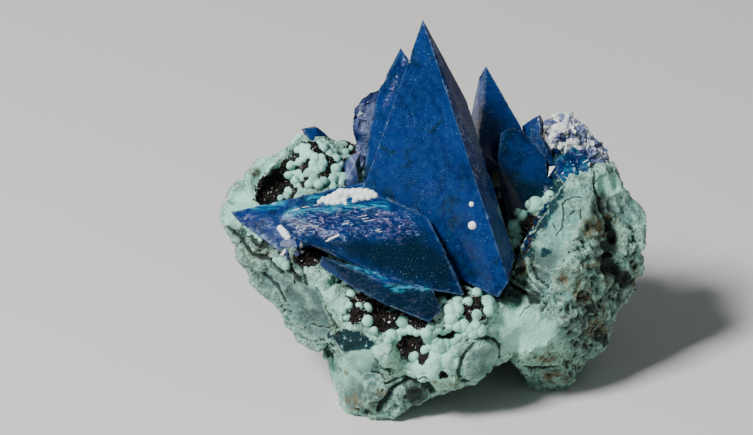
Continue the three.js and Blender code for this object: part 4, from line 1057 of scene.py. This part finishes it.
def chip(piece, edges, bevel, depth, width, seed):
    """Edges are nicked: points near an edge go inwards where noise is high."""
    points, normals = points_of(piece.data)
    gap = gap_to_edges(points, edges)
    near = smooth_step(1 - gap / width)
    nick = smooth_step(lumpiness(points, 1.3, seed) * 2.4 - 0.5)
    nick += 0.5 * smooth_step(lumpiness(points, 0.6, seed + 1) * 2.4 - 0.6)
    sway = 0.02 * lumpiness(points, 2.2, seed + 2)
    points = points - normals * (depth * near * nick + sway)[:, None]
    points[:, 2] = np.maximum(points[:, 2], 0)
    move_points(piece.data, within_cad(points))
    along_edges = smooth_step(1.6 * (1 - gap / bevel))
    mark(piece.data, "edge", along_edges * (0.45 + 0.55 * nick))


def cleave(piece, height, length, seed):
    """Broken faces: chips of two sizes lift and sink the surface."""
    points, normals = points_of(piece.data)
    rise = fractures(points, length, seed) + 0.45 * fractures(points, length * 0.4, seed + 1)
    move_points(piece.data, within_cad(points + normals * (height * rise)[:, None]))


def build_crystals():
    """The crystal pieces with their marks."""
    leading, edges = crystal_group(
        "leading_blue_crystals",
        [TALL_SPIRE, BACK_BLADE, UPPER_BLADE, FRONT_BLADE, LOW_BLADE], 0.1, 0.55)
    chip(leading, edges, 0.1, 0.2, 0.4, 51)
    points, normals = points_of(leading.data)
    seen = as_seen(points)
    warped = seen + 0.5 * np.stack([lumpiness(points, 1.5, s) for s in (52, 53)], axis=1)
    towards = smooth_step(-(normals @ SIGHT) * 3)
    # This mark: painted sheen on the blades, along edges near the tip and on faces turned to the right, with dust on
    # the left blade.
    sheen_and_dust = in_outline(warped, SHEEN_OUTLINE, 0.9)
    dusty = in_outline(warped, DUSTY_OUTLINE, 0.9)
    side = (0.2 + 0.65 * in_outline(warped, SPIRE_SIDE_OUTLINE, 0.8)) * (normals[:, 0] > 0.55)
    low = in_outline(seen, LOW_OUTLINE, 0.5)
    along_edges = np.max([on_line(seen, line, 0.5) for line in SHEEN_EDGES], axis=0)
    sheen_and_dust = np.max([sheen_and_dust, 0.4 * dusty, 0.2 * low, 0.8 * along_edges], axis=0)
    mark(leading.data, "sheen_and_dust", np.maximum(sheen_and_dust * towards, side))
    # This mark: dark-coloured crystal, and painted shade on faces turned away from the light.
    deep_and_shaded = np.maximum(in_outline(warped, TEAL_OUTLINE, 1.2), 0.95 * low)
    mark(leading.data, "deep_and_shaded", deep_and_shaded * towards)
    # Painted glints.
    cyan_glint = np.max([on_line(warped, line, width) for line, width in CYAN_GLINT_LINES], axis=0)
    mark(leading.data, "cyan_glint", cyan_glint * towards)
    shade(leading.data, 16)

    right, edges = crystal_group(
        "right_blue_crystals", [RIGHT_SPIRE, DARK_BLOCK, SIDE_BLOCK, PURPLE_POINT], 0.1, 0.4)
    chip(right, edges, 0.1, 0.2, 0.4, 61)
    points, normals = points_of(right.data)
    seen = as_seen(points)
    # Painted sheen on the right crystals' side face.
    mark(right.data, "sheen_and_dust", in_outline(seen, RIGHT_SIDE_OUTLINE, 0.4))
    # Dark colour and painted shade on the lower part.
    mark(right.data, "deep_and_shaded", in_outline(seen, RIGHT_DARK_OUTLINE, 1.0))
    # A faint painted light on the top of the right crystals.
    lit = 0.04 * in_spot(seen, (9.6, 27.2), 2.6, 0.7)
    mark(right.data, "cyan_glint", lit)
    shade(right.data, 16)

    rim, edges = crystal_group("rim_shards", RIM_SHARDS[:3], 0.1, 0.3)
    cleave(rim, 0.5, 1.5, 71)
    chip(rim, edges, 0.1, 0.15, 0.3, 74)
    points, normals = points_of(rim.data)
    mark(rim.data, "blue", 0.35 * smooth_step(lumpiness(points, 1.6, 75) * 2 - 0.5))
    lower = in_spot(as_seen(points), (18.4, 28.2), 2.2, 0.6)
    mark(rim.data, "white", 0.62 + 0.4 * lumpiness(points, 2.2, 76) - 0.7 * lower)
    shade(rim.data, 30)

    rim_blue, edges = crystal_group("rim_blue_crystal", RIM_SHARDS[3:], 0.08, 0.3)
    cleave(rim_blue, 0.25, 1.6, 77)
    chip(rim_blue, edges, 0.16, 0.16, 0.45, 78)
    points, normals = points_of(rim_blue.data)
    # Painted sheen and painted glints, in patches.
    mark(rim_blue.data, "sheen_and_dust", 0.55 * smooth_step(lumpiness(points, 1.2, 79) * 2 + 0.2))
    mark(rim_blue.data, "deep_and_shaded", np.zeros(len(points)))
    mark(rim_blue.data, "cyan_glint", 0.35 * smooth_step(lumpiness(points, 1.5, 80) * 2 + 0.4))
    shade(rim_blue.data, 20)

    rear, edges = crystal_group("rear_shard", [REAR_SHARD], 0.1, 0.3)
    cleave(rear, 0.3, 1.9, 81)
    chip(rear, edges, 0.1, 0.2, 0.4, 84)
    points, normals = points_of(rear.data)
    mark(rear.data, "blue", 1.0 + 0.3 * smooth_step(lumpiness(points, 2.4, 85) * 2 + 0.6))
    mark(rear.data, "white", 0.4 * in_spot(as_seen(points), (-8.6, 33.4), 1.8, 0.8) - 0.4)
    shade(rear.data, 30)

    lavender, edges = crystal_group("lavender_shard", [LAVENDER_SHARD], 0.1, 0.4)
    chip(lavender, edges, 0.1, 0.15, 0.4, 87)
    mark(lavender.data, "blue", np.full(len(lavender.data.vertices), 0.8))
    mark(lavender.data, "white", np.zeros(len(lavender.data.vertices)))
    shade(lavender.data, 20)

    knob, edges = crystal_group("knob_blue_crystal", [KNOB], 0.1, 0.4)
    chip(knob, edges, 0.1, 0.15, 0.4, 91)
    for name in ("sheen_and_dust", "deep_and_shaded", "cyan_glint"):
        mark(knob.data, name, np.zeros(len(knob.data.vertices)))
    shade(knob.data, 20)
    return leading, right, rim, rim_blue, rear, lavender, knob


# ---- materials ---------------------------------------------------------------------------------
class Recipe:
    """A node tree being written: add() makes a node and sets its plain values and links."""

    def __init__(self, tree):
        self.tree = tree
        self.column = 0

    def add(self, kind, inputs=None, **settings):
        made = self.tree.nodes.new(kind)
        self.column += 1
        made.location = (180 * (self.column % 9), -220 * (self.column // 9))
        for name, value in settings.items():
            setattr(made, name, value)
        for key, value in (inputs or {}).items():
            if isinstance(value, bpy.types.NodeSocket):
                self.tree.links.new(value, made.inputs[key])
            else:
                made.inputs[key].default_value = value
        return made

    def noise(self, where, scale, detail=4.0, roughness=0.55, distortion=0.0):
        made = self.add("ShaderNodeTexNoise", {"Vector": where, "Scale": scale, "Detail": detail,
                                              "Roughness": roughness, "Distortion": distortion})
        return made.outputs["Fac"]

    def cells(self, where, scale, feature="F1", randomness=1.0):
        made = self.add("ShaderNodeTexVoronoi", {"Vector": where, "Scale": scale,
                                                "Randomness": randomness}, feature=feature)
        return made.outputs["Distance"]

    def math(self, operation, a, b=0.5, clamp=False):
        return self.add("ShaderNodeMath", {0: a, 1: b}, operation=operation,
                        use_clamp=clamp).outputs[0]

    def between(self, value, low, high, start=0.0, end=1.0):
        """The value carried smoothly from the span low to high on to the span start to end."""
        made = self.add("ShaderNodeMapRange", {"Value": value, "From Min": low, "From Max": high,
                                              "To Min": start, "To Max": end},
                        interpolation_type="SMOOTHSTEP")
        return made.outputs["Result"]

    def mixed(self, share, a, b):
        """Colour a turning to colour b as the share goes from 0 to 1."""
        made = self.add("ShaderNodeMix", data_type="RGBA")
        for key, value in ((0, share), (6, a), (7, b)):
            if isinstance(value, bpy.types.NodeSocket):
                self.tree.links.new(value, made.inputs[key])
            else:
                made.inputs[key].default_value = value
        return made.outputs[2]

    def read(self, name):
        return self.add("ShaderNodeAttribute", attribute_name=name).outputs["Fac"]


def new_group(name, inputs, outputs):
    """An empty shader group with those inputs, each a name and a starting value, and outputs."""
    tree = bpy.data.node_groups.new(name, "ShaderNodeTree")
    for socket, value in inputs.items():
        kind = "NodeSocketVector" if value is None else "NodeSocketFloat"
        made = tree.interface.new_socket(socket, in_out="INPUT", socket_type=kind)
        if value is not None:
            made.default_value = value
    for socket in outputs:
        tree.interface.new_socket(socket, in_out="OUTPUT", socket_type="NodeSocketFloat")
    recipe = Recipe(tree)
    return recipe, recipe.add("NodeGroupInput").outputs, recipe.add("NodeGroupOutput")


def grain_group():
    """Height of a gritty surface: two lengths of noise and small pits."""
    recipe, given, result = new_group("grit", {"Where": None, "Scale": 900.0}, ["Height"])
    scale = given["Scale"]
    broad = recipe.noise(given["Where"], scale, 6.0, 0.62)
    pits = recipe.cells(given["Where"], recipe.math("MULTIPLY", scale, 1.7))
    pits = recipe.between(pits, 0.0, 0.35)
    height = recipe.math("ADD", recipe.math("MULTIPLY", broad, 0.7),
                         recipe.math("MULTIPLY", pits, 0.3))
    recipe.tree.links.new(height, result.inputs["Height"])
    return recipe.tree


def dust_group():
    """Where dust and fine specks lie: sparse round specks, more on faces that look up."""
    recipe, given, result = new_group(
        "dust", {"Where": None, "Scale": 1400.0, "Amount": 0.5}, ["Specks", "Film"])
    spread = recipe.noise(given["Where"], 260.0, 3.0)
    cells = recipe.cells(given["Where"], given["Scale"])
    picked = recipe.noise(given["Where"], given["Scale"], 0.0)
    near = recipe.between(cells, 0.4, 0.2)
    chosen = recipe.between(picked, 0.5, 0.85)
    amount = recipe.math("MULTIPLY", recipe.between(spread, 0.35, 0.65), given["Amount"])
    specks = recipe.math("MULTIPLY", recipe.math("MULTIPLY", near, chosen), amount)
    facing = recipe.add("ShaderNodeNewGeometry").outputs["Normal"]
    upward = recipe.add("ShaderNodeSeparateXYZ", {0: facing}).outputs["Z"]
    film = recipe.math("MULTIPLY", recipe.between(upward, -0.2, 1.0), amount)
    recipe.tree.links.new(specks, result.inputs["Specks"])
    recipe.tree.links.new(film, result.inputs["Film"])
    return recipe.tree


def new_material(name):
    """A material's recipe, its surface shader and the object coordinates its patterns read."""
    material = bpy.data.materials.new(name)
    material.use_nodes = True
    material.node_tree.nodes.clear()
    recipe = Recipe(material.node_tree)
    end = recipe.add("ShaderNodeOutputMaterial")
    surface = recipe.add("ShaderNodeBsdfPrincipled")
    recipe.tree.links.new(surface.outputs[0], end.inputs["Surface"])
    where = recipe.add("ShaderNodeTexCoord").outputs["Object"]
    return material, recipe, surface, where, end


def use(recipe, group, inputs):
    made = recipe.add("ShaderNodeGroup", node_tree=group)
    for key, value in inputs.items():
        if isinstance(value, bpy.types.NodeSocket):
            recipe.tree.links.new(value, made.inputs[key])
        else:
            made.inputs[key].default_value = value
    return made.outputs


def bumped(recipe, height, strength, distance, below=None):
    made = recipe.add("ShaderNodeBump", {"Height": height, "Strength": strength,
                                        "Distance": distance})
    if below is not None:
        recipe.tree.links.new(below, made.inputs["Normal"])
    return made.outputs["Normal"]


MINT = (0.10, 0.335, 0.315, 1)
PALE_MINT = (0.38, 0.84, 0.66, 1)
GREY_GREEN = (0.065, 0.112, 0.112, 1)
BROWN_GREY = (0.15, 0.135, 0.105, 1)
DARK_GREEN = (0.012, 0.026, 0.024, 1)
CHALK = (0.44, 0.78, 0.63, 1)
OCHRE = (0.17, 0.115, 0.04, 1)
UMBER = (0.025, 0.028, 0.022, 1)
DRUSE_BROWN = (0.010, 0.007, 0.006, 1)
TEAL = (0.001, 0.035, 0.047, 1)
CRUST_WHITE = (0.93, 0.98, 0.97, 1)
CRUST_PALE = (0.40, 0.82, 0.68, 1)
CRUST_SHADE = (0.16, 0.36, 0.31, 1)
CRUST_CREAM = (0.78, 0.92, 0.90, 1)


def rock_material(grit):
    material, recipe, surface, where, _ = new_material("pale green rock")
    broad = recipe.noise(where, 190.0, 6.0, 0.65, 0.8)
    fine = recipe.noise(where, 1400.0, 6.0, 0.7)
    grains = recipe.cells(where, 2600.0)
    coarse_grain = use(recipe, grit, {"Where": where, "Scale": 1000.0})["Height"]
    fine_grain = use(recipe, grit, {"Where": where, "Scale": 3000.0})["Height"]
    colour = recipe.mixed(recipe.between(broad, 0.38, 0.62), GREY_GREEN, MINT)
    # Paler where the pale mark is: pale rock, and in part painted light.
    pale = recipe.math("ADD", recipe.math("MULTIPLY", recipe.read("pale"), 0.5), fine)
    colour = recipe.mixed(recipe.between(pale, 0.46, 0.8), colour, PALE_MINT)
    uneven = recipe.between(recipe.read("coarse"), 0.05, 0.5, 0.2, 1.0)
    chalky = recipe.math("MULTIPLY", recipe.between(coarse_grain, 0.52, 0.7, 0.0, 0.7), uneven)
    colour = recipe.mixed(chalky, colour, CHALK)
    dark_grain = recipe.math("MULTIPLY", recipe.between(coarse_grain, 0.48, 0.32, 0.0, 0.9), uneven)
    colour = recipe.mixed(dark_grain, colour, DARK_GREEN)
    grey = recipe.math("MULTIPLY", recipe.read("grey"), 0.88)
    colour = recipe.mixed(grey, colour, GREY_GREEN)
    dirt = recipe.math("MULTIPLY", recipe.between(recipe.read("coarse"), 0.35, 0.8),
                       recipe.between(recipe.noise(where, 330.0, 5.0, 0.7), 0.44, 0.6))
    colour = recipe.mixed(recipe.math("MULTIPLY", dirt, 0.75), colour, BROWN_GREY)
    # Painted highlight: crests lighter, in chalk colour.
    crest_highlight = recipe.math("MULTIPLY", recipe.read("crest_highlight"), recipe.between(fine, 0.3, 0.55))
    colour = recipe.mixed(recipe.math("MULTIPLY", crest_highlight, 0.8), colour, CHALK)
    patchy = recipe.between(recipe.noise(where, 700.0, 4.0), 0.36, 0.6)
    ochre = recipe.math("MULTIPLY", recipe.between(recipe.read("ochre"), 0.1, 0.7), patchy)
    colour = recipe.mixed(recipe.math("MULTIPLY", ochre, 0.85), colour, OCHRE)
    # Painted shade: darker in hollows, in the shaded spots, grooves and veins, and a little in coarse places.
    hollow_shade = recipe.math("ADD", recipe.read("hollow_shade"),
                         recipe.math("MULTIPLY", recipe.read("shaded"), 0.9))
    hollow_shade = recipe.math("ADD", hollow_shade, recipe.math("MULTIPLY", fine, 0.9))
    hollow_shade = recipe.math("ADD", hollow_shade, recipe.between(recipe.read("coarse"), 0.5, 1.0, 0.0, 0.15))
    colour = recipe.mixed(recipe.between(hollow_shade, 0.85, 1.4, 0.0, 0.88), colour, DARK_GREEN)
    flecks = recipe.math("MULTIPLY", recipe.between(grains, 0.3, 0.14),
                         recipe.between(recipe.noise(where, 420.0, 3.0), 0.42, 0.62))
    flecks = recipe.math("MULTIPLY", flecks, recipe.between(recipe.read("coarse"), 0.1, 0.5))
    colour = recipe.mixed(recipe.math("MULTIPLY", flecks, 0.85), colour, DARK_GREEN)
    teal = recipe.math("MULTIPLY", recipe.read("teal"), recipe.between(fine, 0.3, 0.6))
    colour = recipe.mixed(recipe.between(teal, 0.06, 0.4), colour, TEAL)
    # Near-black druse, which in the pits it fills is also painted shade.
    druse = recipe.math("ADD", recipe.read("druse"), recipe.math("MULTIPLY", fine, 0.5))
    druse = recipe.between(druse, 0.62, 0.86)
    colour = recipe.mixed(druse, colour, DRUSE_BROWN)
    sway = recipe.add("ShaderNodeTexNoise", {"Vector": where, "Scale": 260.0}).outputs["Color"]
    moved = recipe.add("ShaderNodeVectorMath", {0: sway, 1: (0.0035, 0.0035, 0.0035)},
                       operation="MULTIPLY").outputs[0]
    moved = recipe.add("ShaderNodeVectorMath", {0: where, 1: moved}, operation="ADD").outputs[0]
    hairline = recipe.cells(moved, 210.0, "DISTANCE_TO_EDGE")
    hairline = recipe.math("MULTIPLY", recipe.between(hairline, 0.02, 0.008),
                           recipe.math("MULTIPLY", recipe.between(broad, 0.46, 0.56), uneven))
    colour = recipe.mixed(recipe.math("MULTIPLY", hairline, 0.6), colour, DARK_GREEN)
    cracked = recipe.between(recipe.read("cracked"), 0.3, 0.8, 0.0, 0.8)
    colour = recipe.mixed(cracked, colour, UMBER)
    recipe.tree.links.new(colour, surface.inputs["Base Color"])
    recipe.tree.links.new(recipe.between(fine, 0.3, 0.8, 0.95, 0.6), surface.inputs["Roughness"])
    surface.inputs["Specular IOR Level"].default_value = 0.3
    normal = bumped(recipe, recipe.math("MULTIPLY", coarse_grain, uneven), 1.0, 0.001)
    normal = bumped(recipe, fine_grain, 0.8, 0.0005, normal)
    recipe.tree.links.new(normal, surface.inputs["Normal"])
    return material


def crust_material(name, grit, shade_colour, lit_colour, crease_shading):
    material, recipe, surface, where, _ = new_material(name)
    broad = recipe.noise(where, 330.0, 4.0, 0.6)
    fine = recipe.noise(where, 2600.0, 4.0)
    colour = recipe.mixed(recipe.between(broad, 0.28, 0.6), shade_colour, lit_colour)
    specks = recipe.between(recipe.cells(where, 2600.0), 0.26, 0.1)
    colour = recipe.mixed(recipe.math("MULTIPLY", specks, 0.4), colour, GREY_GREEN)
    # Painted shade: darker where two balls meet.
    crease = recipe.math("ADD", recipe.read("crease"), recipe.math("MULTIPLY", fine, 0.4))
    colour = recipe.mixed(recipe.between(crease, 0.5, 1.3, 0.0, crease_shading), colour, DARK_GREEN)
    recipe.tree.links.new(colour, surface.inputs["Base Color"])
    recipe.tree.links.new(recipe.between(fine, 0.3, 0.7, 0.85, 0.6), surface.inputs["Roughness"])
    surface.inputs["Specular IOR Level"].default_value = 0.35
    grain = use(recipe, grit, {"Where": where, "Scale": 2600.0})["Height"]
    recipe.tree.links.new(bumped(recipe, grain, 0.6, 0.00018), surface.inputs["Normal"])
    return material


def druse_material():
    material, recipe, surface, where, _ = new_material("dark druse")
    tint = recipe.noise(where, 1300.0, 1.0)
    colour = recipe.mixed(recipe.between(tint, 0.4, 0.65), (0.004, 0.005, 0.005, 1),
                          (0.026, 0.013, 0.011, 1))
    # Painted glints: a few pale places on the dark grains.
    colour = recipe.mixed(recipe.between(recipe.noise(where, 2100.0, 0.0), 0.68, 0.74), colour,
                          (0.30, 0.30, 0.26, 1))
    recipe.tree.links.new(colour, surface.inputs["Base Color"])
    recipe.tree.links.new(recipe.between(tint, 0.3, 0.7, 0.2, 0.45), surface.inputs["Roughness"])
    grain = recipe.noise(where, 5000.0, 2.0)
    recipe.tree.links.new(bumped(recipe, grain, 0.2, 0.00005), surface.inputs["Normal"])
    return material


NAVY = (0.0, 0.006, 0.045, 1)
COBALT = (0.0, 0.021, 0.137, 1)
SKY = (0.0, 0.06, 0.23, 1)
BRUSHED_BLUE = (0.01, 0.12, 0.30, 1)
DEEP_TEAL = (0.0, 0.012, 0.026, 1)
# Colour of the painted glints.
GLINT_CYAN = (0.02, 0.36, 0.52, 1)
# The next three colours are those of the painted sheen.
SHEEN_PINK = (0.27, 0.21, 0.42, 1)
SHEEN_BLUE = (0.22, 0.40, 0.66, 1)
SHEEN_NET_PINK = (0.55, 0.50, 0.72, 1)
SPECK = (0.30, 0.56, 0.76, 1)
WORN_BLUE = (0.20, 0.38, 0.56, 1)
LILAC_GREY = (0.03, 0.05, 0.17, 1)
PALE_LILAC = (0.17, 0.22, 0.42, 1)
FLAKE_WHITE = (0.88, 0.94, 0.91, 1)


def crystal_material(grit, dust):
    material, recipe, surface, where, end = new_material("blue crystal")
    lying = recipe.add("ShaderNodeMapping",
                       {"Vector": where, "Rotation": (0.0, -0.2, -0.12), "Scale": (7.0, 1.0, 1.0)},
                       vector_type="TEXTURE").outputs[0]
    dashed = recipe.add("ShaderNodeMapping",
                        {"Vector": where, "Rotation": (0.0, -0.24, -0.12), "Scale": (3.6, 1.0, 1.0)},
                        vector_type="TEXTURE").outputs[0]
    upright = recipe.add("ShaderNodeMapping",
                         {"Vector": where, "Rotation": (-0.3, 0.1, 0.0), "Scale": (1.0, 1.0, 8.0)},
                         vector_type="TEXTURE").outputs[0]
    clouds = recipe.noise(where, 130.0, 4.0, 0.6, 0.5)
    patches = recipe.noise(where, 290.0, 3.0, 0.55, 0.8)
    mottle = recipe.noise(where, 1100.0, 6.0, 0.7)
    streaks = recipe.noise(lying, 2600.0, 3.0, 0.6)
    lines = recipe.noise(upright, 2200.0, 3.0, 0.6)
    brushed = recipe.noise(where, 2600.0, 5.0, 0.75, 1.2)
    colour = recipe.mixed(recipe.between(clouds, 0.34, 0.6), NAVY, COBALT)
    colour = recipe.mixed(recipe.between(patches, 0.49, 0.32, 0.0, 0.9), colour, DEEP_TEAL)
    colour = recipe.mixed(recipe.between(mottle, 0.3, 0.9, 0.0, 0.7), colour, SKY)
    colour = recipe.mixed(recipe.between(brushed, 0.54, 0.74, 0.0, 0.45), colour, BRUSHED_BLUE)
    # Painted shade in part: dark teal where the crystal is dark and where its faces are in shade.
    deep_and_shaded = recipe.math("MULTIPLY", recipe.read("deep_and_shaded"), 0.92)
    colour = recipe.mixed(deep_and_shaded, colour, DEEP_TEAL)
    # Painted glints, broken by streaks.
    cyan_glint = recipe.math("MULTIPLY", recipe.read("cyan_glint"), recipe.between(streaks, 0.38, 0.62))
    colour = recipe.mixed(recipe.math("MULTIPLY", cyan_glint, 0.95), colour, GLINT_CYAN)
    # Painted sheen: silver-pink streaks and a fine network of pale lines.
    sheen_and_dust = recipe.read("sheen_and_dust")
    sheen = recipe.math("MULTIPLY", sheen_and_dust, recipe.between(streaks, 0.5, 0.72))
    colour = recipe.mixed(recipe.math("MULTIPLY", sheen, 0.35), colour, SHEEN_PINK)
    sheen_net = recipe.math("MULTIPLY", recipe.between(recipe.cells(dashed, 2700.0, "DISTANCE_TO_EDGE"),
                                                 0.1, 0.03), recipe.between(mottle, 0.48, 0.62))
    sheen_net_colour = recipe.mixed(recipe.between(patches, 0.4, 0.6), SHEEN_BLUE, SHEEN_NET_PINK)
    sheen_net = recipe.math("MULTIPLY", sheen_net, recipe.between(sheen_and_dust, 0.1, 0.6))
    colour = recipe.mixed(recipe.math("MULTIPLY", sheen_net, 0.75), colour, sheen_net_colour)
    edge = recipe.math("MULTIPLY", recipe.read("edge"), recipe.between(mottle, 0.35, 0.6))
    colour = recipe.mixed(recipe.math("MULTIPLY", edge, 0.55), colour, WORN_BLUE)
    specks = use(recipe, dust, {"Where": where, "Scale": 6000.0, "Amount": 1.0})
    bright = recipe.between(brushed, 0.4, 0.62, 0.2, 0.9)
    colour = recipe.mixed(recipe.math("MULTIPLY", specks["Specks"], bright), colour, SPECK)
    recipe.tree.links.new(colour, surface.inputs["Base Color"])
    rough = recipe.math("ADD", recipe.between(mottle, 0.3, 0.7, 0.12, 0.26),
                        recipe.math("MULTIPLY", specks["Film"], 0.08))
    rough = recipe.math("ADD", rough, recipe.math("MULTIPLY", sheen_and_dust, 0.12))
    recipe.tree.links.new(rough, surface.inputs["Roughness"])
    surface.inputs["Transmission Weight"].default_value = 0.15
    surface.inputs["IOR"].default_value = 1.6
    surface.inputs["Specular IOR Level"].default_value = 0.16
    haze = recipe.add("ShaderNodeVolumeAbsorption", {"Color": (0.0, 0.22, 0.7, 1),
                                                    "Density": 700.0})
    recipe.tree.links.new(haze.outputs[0], end.inputs["Volume"])
    grain = use(recipe, grit, {"Where": where, "Scale": 900.0})["Height"]
    normal = bumped(recipe, clouds, 0.1, 0.0004)
    normal = bumped(recipe, recipe.math("MULTIPLY", streaks, sheen_and_dust), 0.5, 0.0002, normal)
    normal = bumped(recipe, recipe.math("ADD", grain, recipe.math("MULTIPLY", lines, 0.7)),
                    0.14, 0.0001, normal)
    recipe.tree.links.new(normal, surface.inputs["Normal"])
    return material


def shard_material(grit, dust):
    material, recipe, surface, where, end = new_material("cleaved pale crystal")
    clouds = recipe.noise(where, 300.0, 4.0, 0.6)
    flakes = recipe.add("ShaderNodeTexVoronoi", {"Vector": where, "Scale": 1000.0}).outputs["Color"]
    flake = recipe.add("ShaderNodeSeparateXYZ", {0: flakes}).outputs[0]
    colour = recipe.mixed(recipe.between(clouds, 0.36, 0.6), LILAC_GREY, PALE_LILAC)
    blue = recipe.math("MULTIPLY", recipe.read("blue"), recipe.between(clouds, 0.62, 0.44))
    colour = recipe.mixed(recipe.math("MULTIPLY", blue, 0.93), colour, COBALT)
    white = recipe.math("ADD", recipe.read("white"), flake)
    colour = recipe.mixed(recipe.between(white, 0.85, 1.1), colour, FLAKE_WHITE)
    edge = recipe.math("MULTIPLY", recipe.read("edge"), recipe.between(clouds, 0.3, 0.5))
    colour = recipe.mixed(recipe.math("MULTIPLY", edge, 0.5), colour, FLAKE_WHITE)
    specks = use(recipe, dust, {"Where": where, "Scale": 1800.0, "Amount": 0.9})
    colour = recipe.mixed(specks["Specks"], colour, SPECK)
    recipe.tree.links.new(colour, surface.inputs["Base Color"])
    rough = recipe.between(flake, 0.1, 0.9, 0.3, 0.6)
    recipe.tree.links.new(rough, surface.inputs["Roughness"])
    surface.inputs["Transmission Weight"].default_value = 0.2
    surface.inputs["IOR"].default_value = 1.6
    grain = use(recipe, grit, {"Where": where, "Scale": 900.0})["Height"]
    normal = bumped(recipe, flake, 0.5, 0.0002)
    normal = bumped(recipe, grain, 0.3, 0.0001, normal)
    recipe.tree.links.new(normal, surface.inputs["Normal"])
    return material


def floor_material():
    material, recipe, surface, where, _ = new_material("pale floor")
    tint = recipe.noise(where, 3.0, 2.0)
    colour = recipe.mixed(tint, (0.62, 0.62, 0.61, 1), (0.66, 0.66, 0.65, 1))
    recipe.tree.links.new(colour, surface.inputs["Base Color"])
    surface.inputs["Roughness"].default_value = 0.9
    return material


# ---- the specimen ------------------------------------------------------------------------------
rock = build_rock()
leading, right, rim, rim_blue, rear, lavender, knob = build_crystals()

rock_surface = surface_of(rock)
crystal_surface = surface_of(leading)
crust = balls("crust", swollen(MOUND_BALLS, 1.06) + swollen(FRONT_BALLS, 1.05) + GALLERY_BALLS,
              [rock_surface, surface_of(right)], 0.12, 1, BACK_BALLS)
blade_crust = balls("blade_crust", BLADE_BALLS + SPIRE_BALLS + BROKEN_END_BALLS,
                    [crystal_surface], 0.09, 9)
right_surface = surface_of(right)
gap_crystals = chips("gap_blue_crystals", GAP_CRYSTALS, [rock_surface, right_surface], 16)
for name in ("sheen_and_dust", "deep_and_shaded", "cyan_glint", "edge"):
    mark(gap_crystals.data, name, np.full(len(gap_crystals.data.vertices), 0.4 * (name == "deep_and_shaded")))
# White splinters standing for painted glints.
bright = slivers("glint_slivers", GLINT_SLIVERS, [crystal_surface])
broken_end = chips("broken_end_chips", SHARD_CHIPS, [rock_surface, crystal_surface], 15)
rim_flakes = chips("rim_flakes", scattered(RIM_FLAKES_OUTLINE, 90, 0.2, 0.5, 18),
                   [surface_of(rim)], 19)
rim_slivers = slivers("rim_slivers", RIM_SLIVERS,
                      [rock_surface, surface_of(rim), surface_of(rim_blue)])
for shell in (bright, broken_end, rim_flakes, rim_slivers, gap_crystals):
    recalculate(shell.data)
for shell, whiteness in ((bright, 0.7), (broken_end, 0.15), (rim_flakes, 0.55),
                         (rim_slivers, 0.8)):
    mark(shell.data, "white", np.full(len(shell.data.vertices), whiteness))
    mark(shell.data, "blue", np.full(len(shell.data.vertices), 0.1))
    mark(shell.data, "edge", np.zeros(len(shell.data.vertices)))
druse = druse_grains(rock)

grit = grain_group()
dust = dust_group()
rock_finish = rock_material(grit)
crust_finish = crust_material("pale green crust", grit, CRUST_SHADE, CRUST_PALE, 0.5)
white_finish = crust_material("white crust", grit, CRUST_CREAM, CRUST_WHITE, 0.08)
druse_finish = druse_material()
blue_finish = crystal_material(grit, dust)
shard_finish = shard_material(grit, dust)

PIECES = [
    (rock, rock_finish, "rock", "matrix"),
    (crust, crust_finish, "rock", "matrix"),
    (druse, druse_finish, "rock", "matrix"),
    (leading, blue_finish, "blue_crystal", "leading_crystals"),
    (blade_crust, white_finish, "rock", "leading_crystals"),
    (bright, shard_finish, "pale_crystal", "leading_crystals"),
    (broken_end, shard_finish, "pale_crystal", "leading_crystals"),
    (right, blue_finish, "blue_crystal", "right_crystals"),
    (gap_crystals, blue_finish, "blue_crystal", "right_crystals"),
    (rim, shard_finish, "pale_crystal", "rim_crystals"),
    (rim_flakes, shard_finish, "pale_crystal", "rim_crystals"),
    (rim_slivers, shard_finish, "pale_crystal", "rim_crystals"),
    (rim_blue, blue_finish, "pale_crystal", "rim_crystals"),
    (rear, shard_finish, "pale_crystal", "rear_crystal"),
    (lavender, shard_finish, "pale_crystal", "lavender_crystal"),
    (knob, blue_finish, "blue_crystal", "knob_crystal"),
]
for piece, finish, slot, node in PIECES:
    piece.data.materials.clear()
    piece.data.materials.append(finish)
    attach(piece, "root")
    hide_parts(node)

# ---- floor, light and camera -----------------------------------------------------------------
FLOOR_SIZE = 3.0
floor_mesh = bpy.data.meshes.new("floor")
half = FLOOR_SIZE / 2
floor_mesh.from_pydata([(-half, -half, 0), (half, -half, 0), (half, half, 0), (-half, half, 0)],
                       [], [(0, 1, 2, 3)])
floor = bpy.data.objects.new("floor", floor_mesh)
bpy.context.scene.collection.objects.link(floor)
floor_mesh.materials.append(floor_material())


def area_light(name, place, aim, size, power, colour):
    """A square light at a place, turned towards a point; both in metres."""
    light = bpy.data.lights.new(name, "AREA")
    light.size = size
    light.energy = power
    light.color = colour
    lamp = bpy.data.objects.new(name, light)
    lamp.location = place
    lamp.rotation_euler = (Vector(aim) - Vector(place)).to_track_quat("-Z", "Y").to_euler()
    bpy.context.scene.collection.objects.link(lamp)


area_light("key", (-0.34, -0.26, 0.52), (0, 0, 0.02), 0.15, 7.8, (1.0, 0.98, 0.95))
world = bpy.data.worlds.new("studio")
world.use_nodes = True
world.node_tree.nodes["Background"].inputs["Color"].default_value = (0.8, 0.84, 0.88, 1)
world.node_tree.nodes["Background"].inputs["Strength"].default_value = 0.2
bpy.context.scene.world = world

camera_data = bpy.data.cameras.new("camera")
camera_data.lens = FOCAL_LENGTH
camera_data.sensor_width = 36
camera = bpy.data.objects.new("camera", camera_data)
camera.location = (EYE - ORIGIN) * MM
camera.rotation_euler = (np.radians(90) - SLOPE, 0, 0)
bpy.context.scene.collection.objects.link(camera)
bpy.context.scene.camera = camera
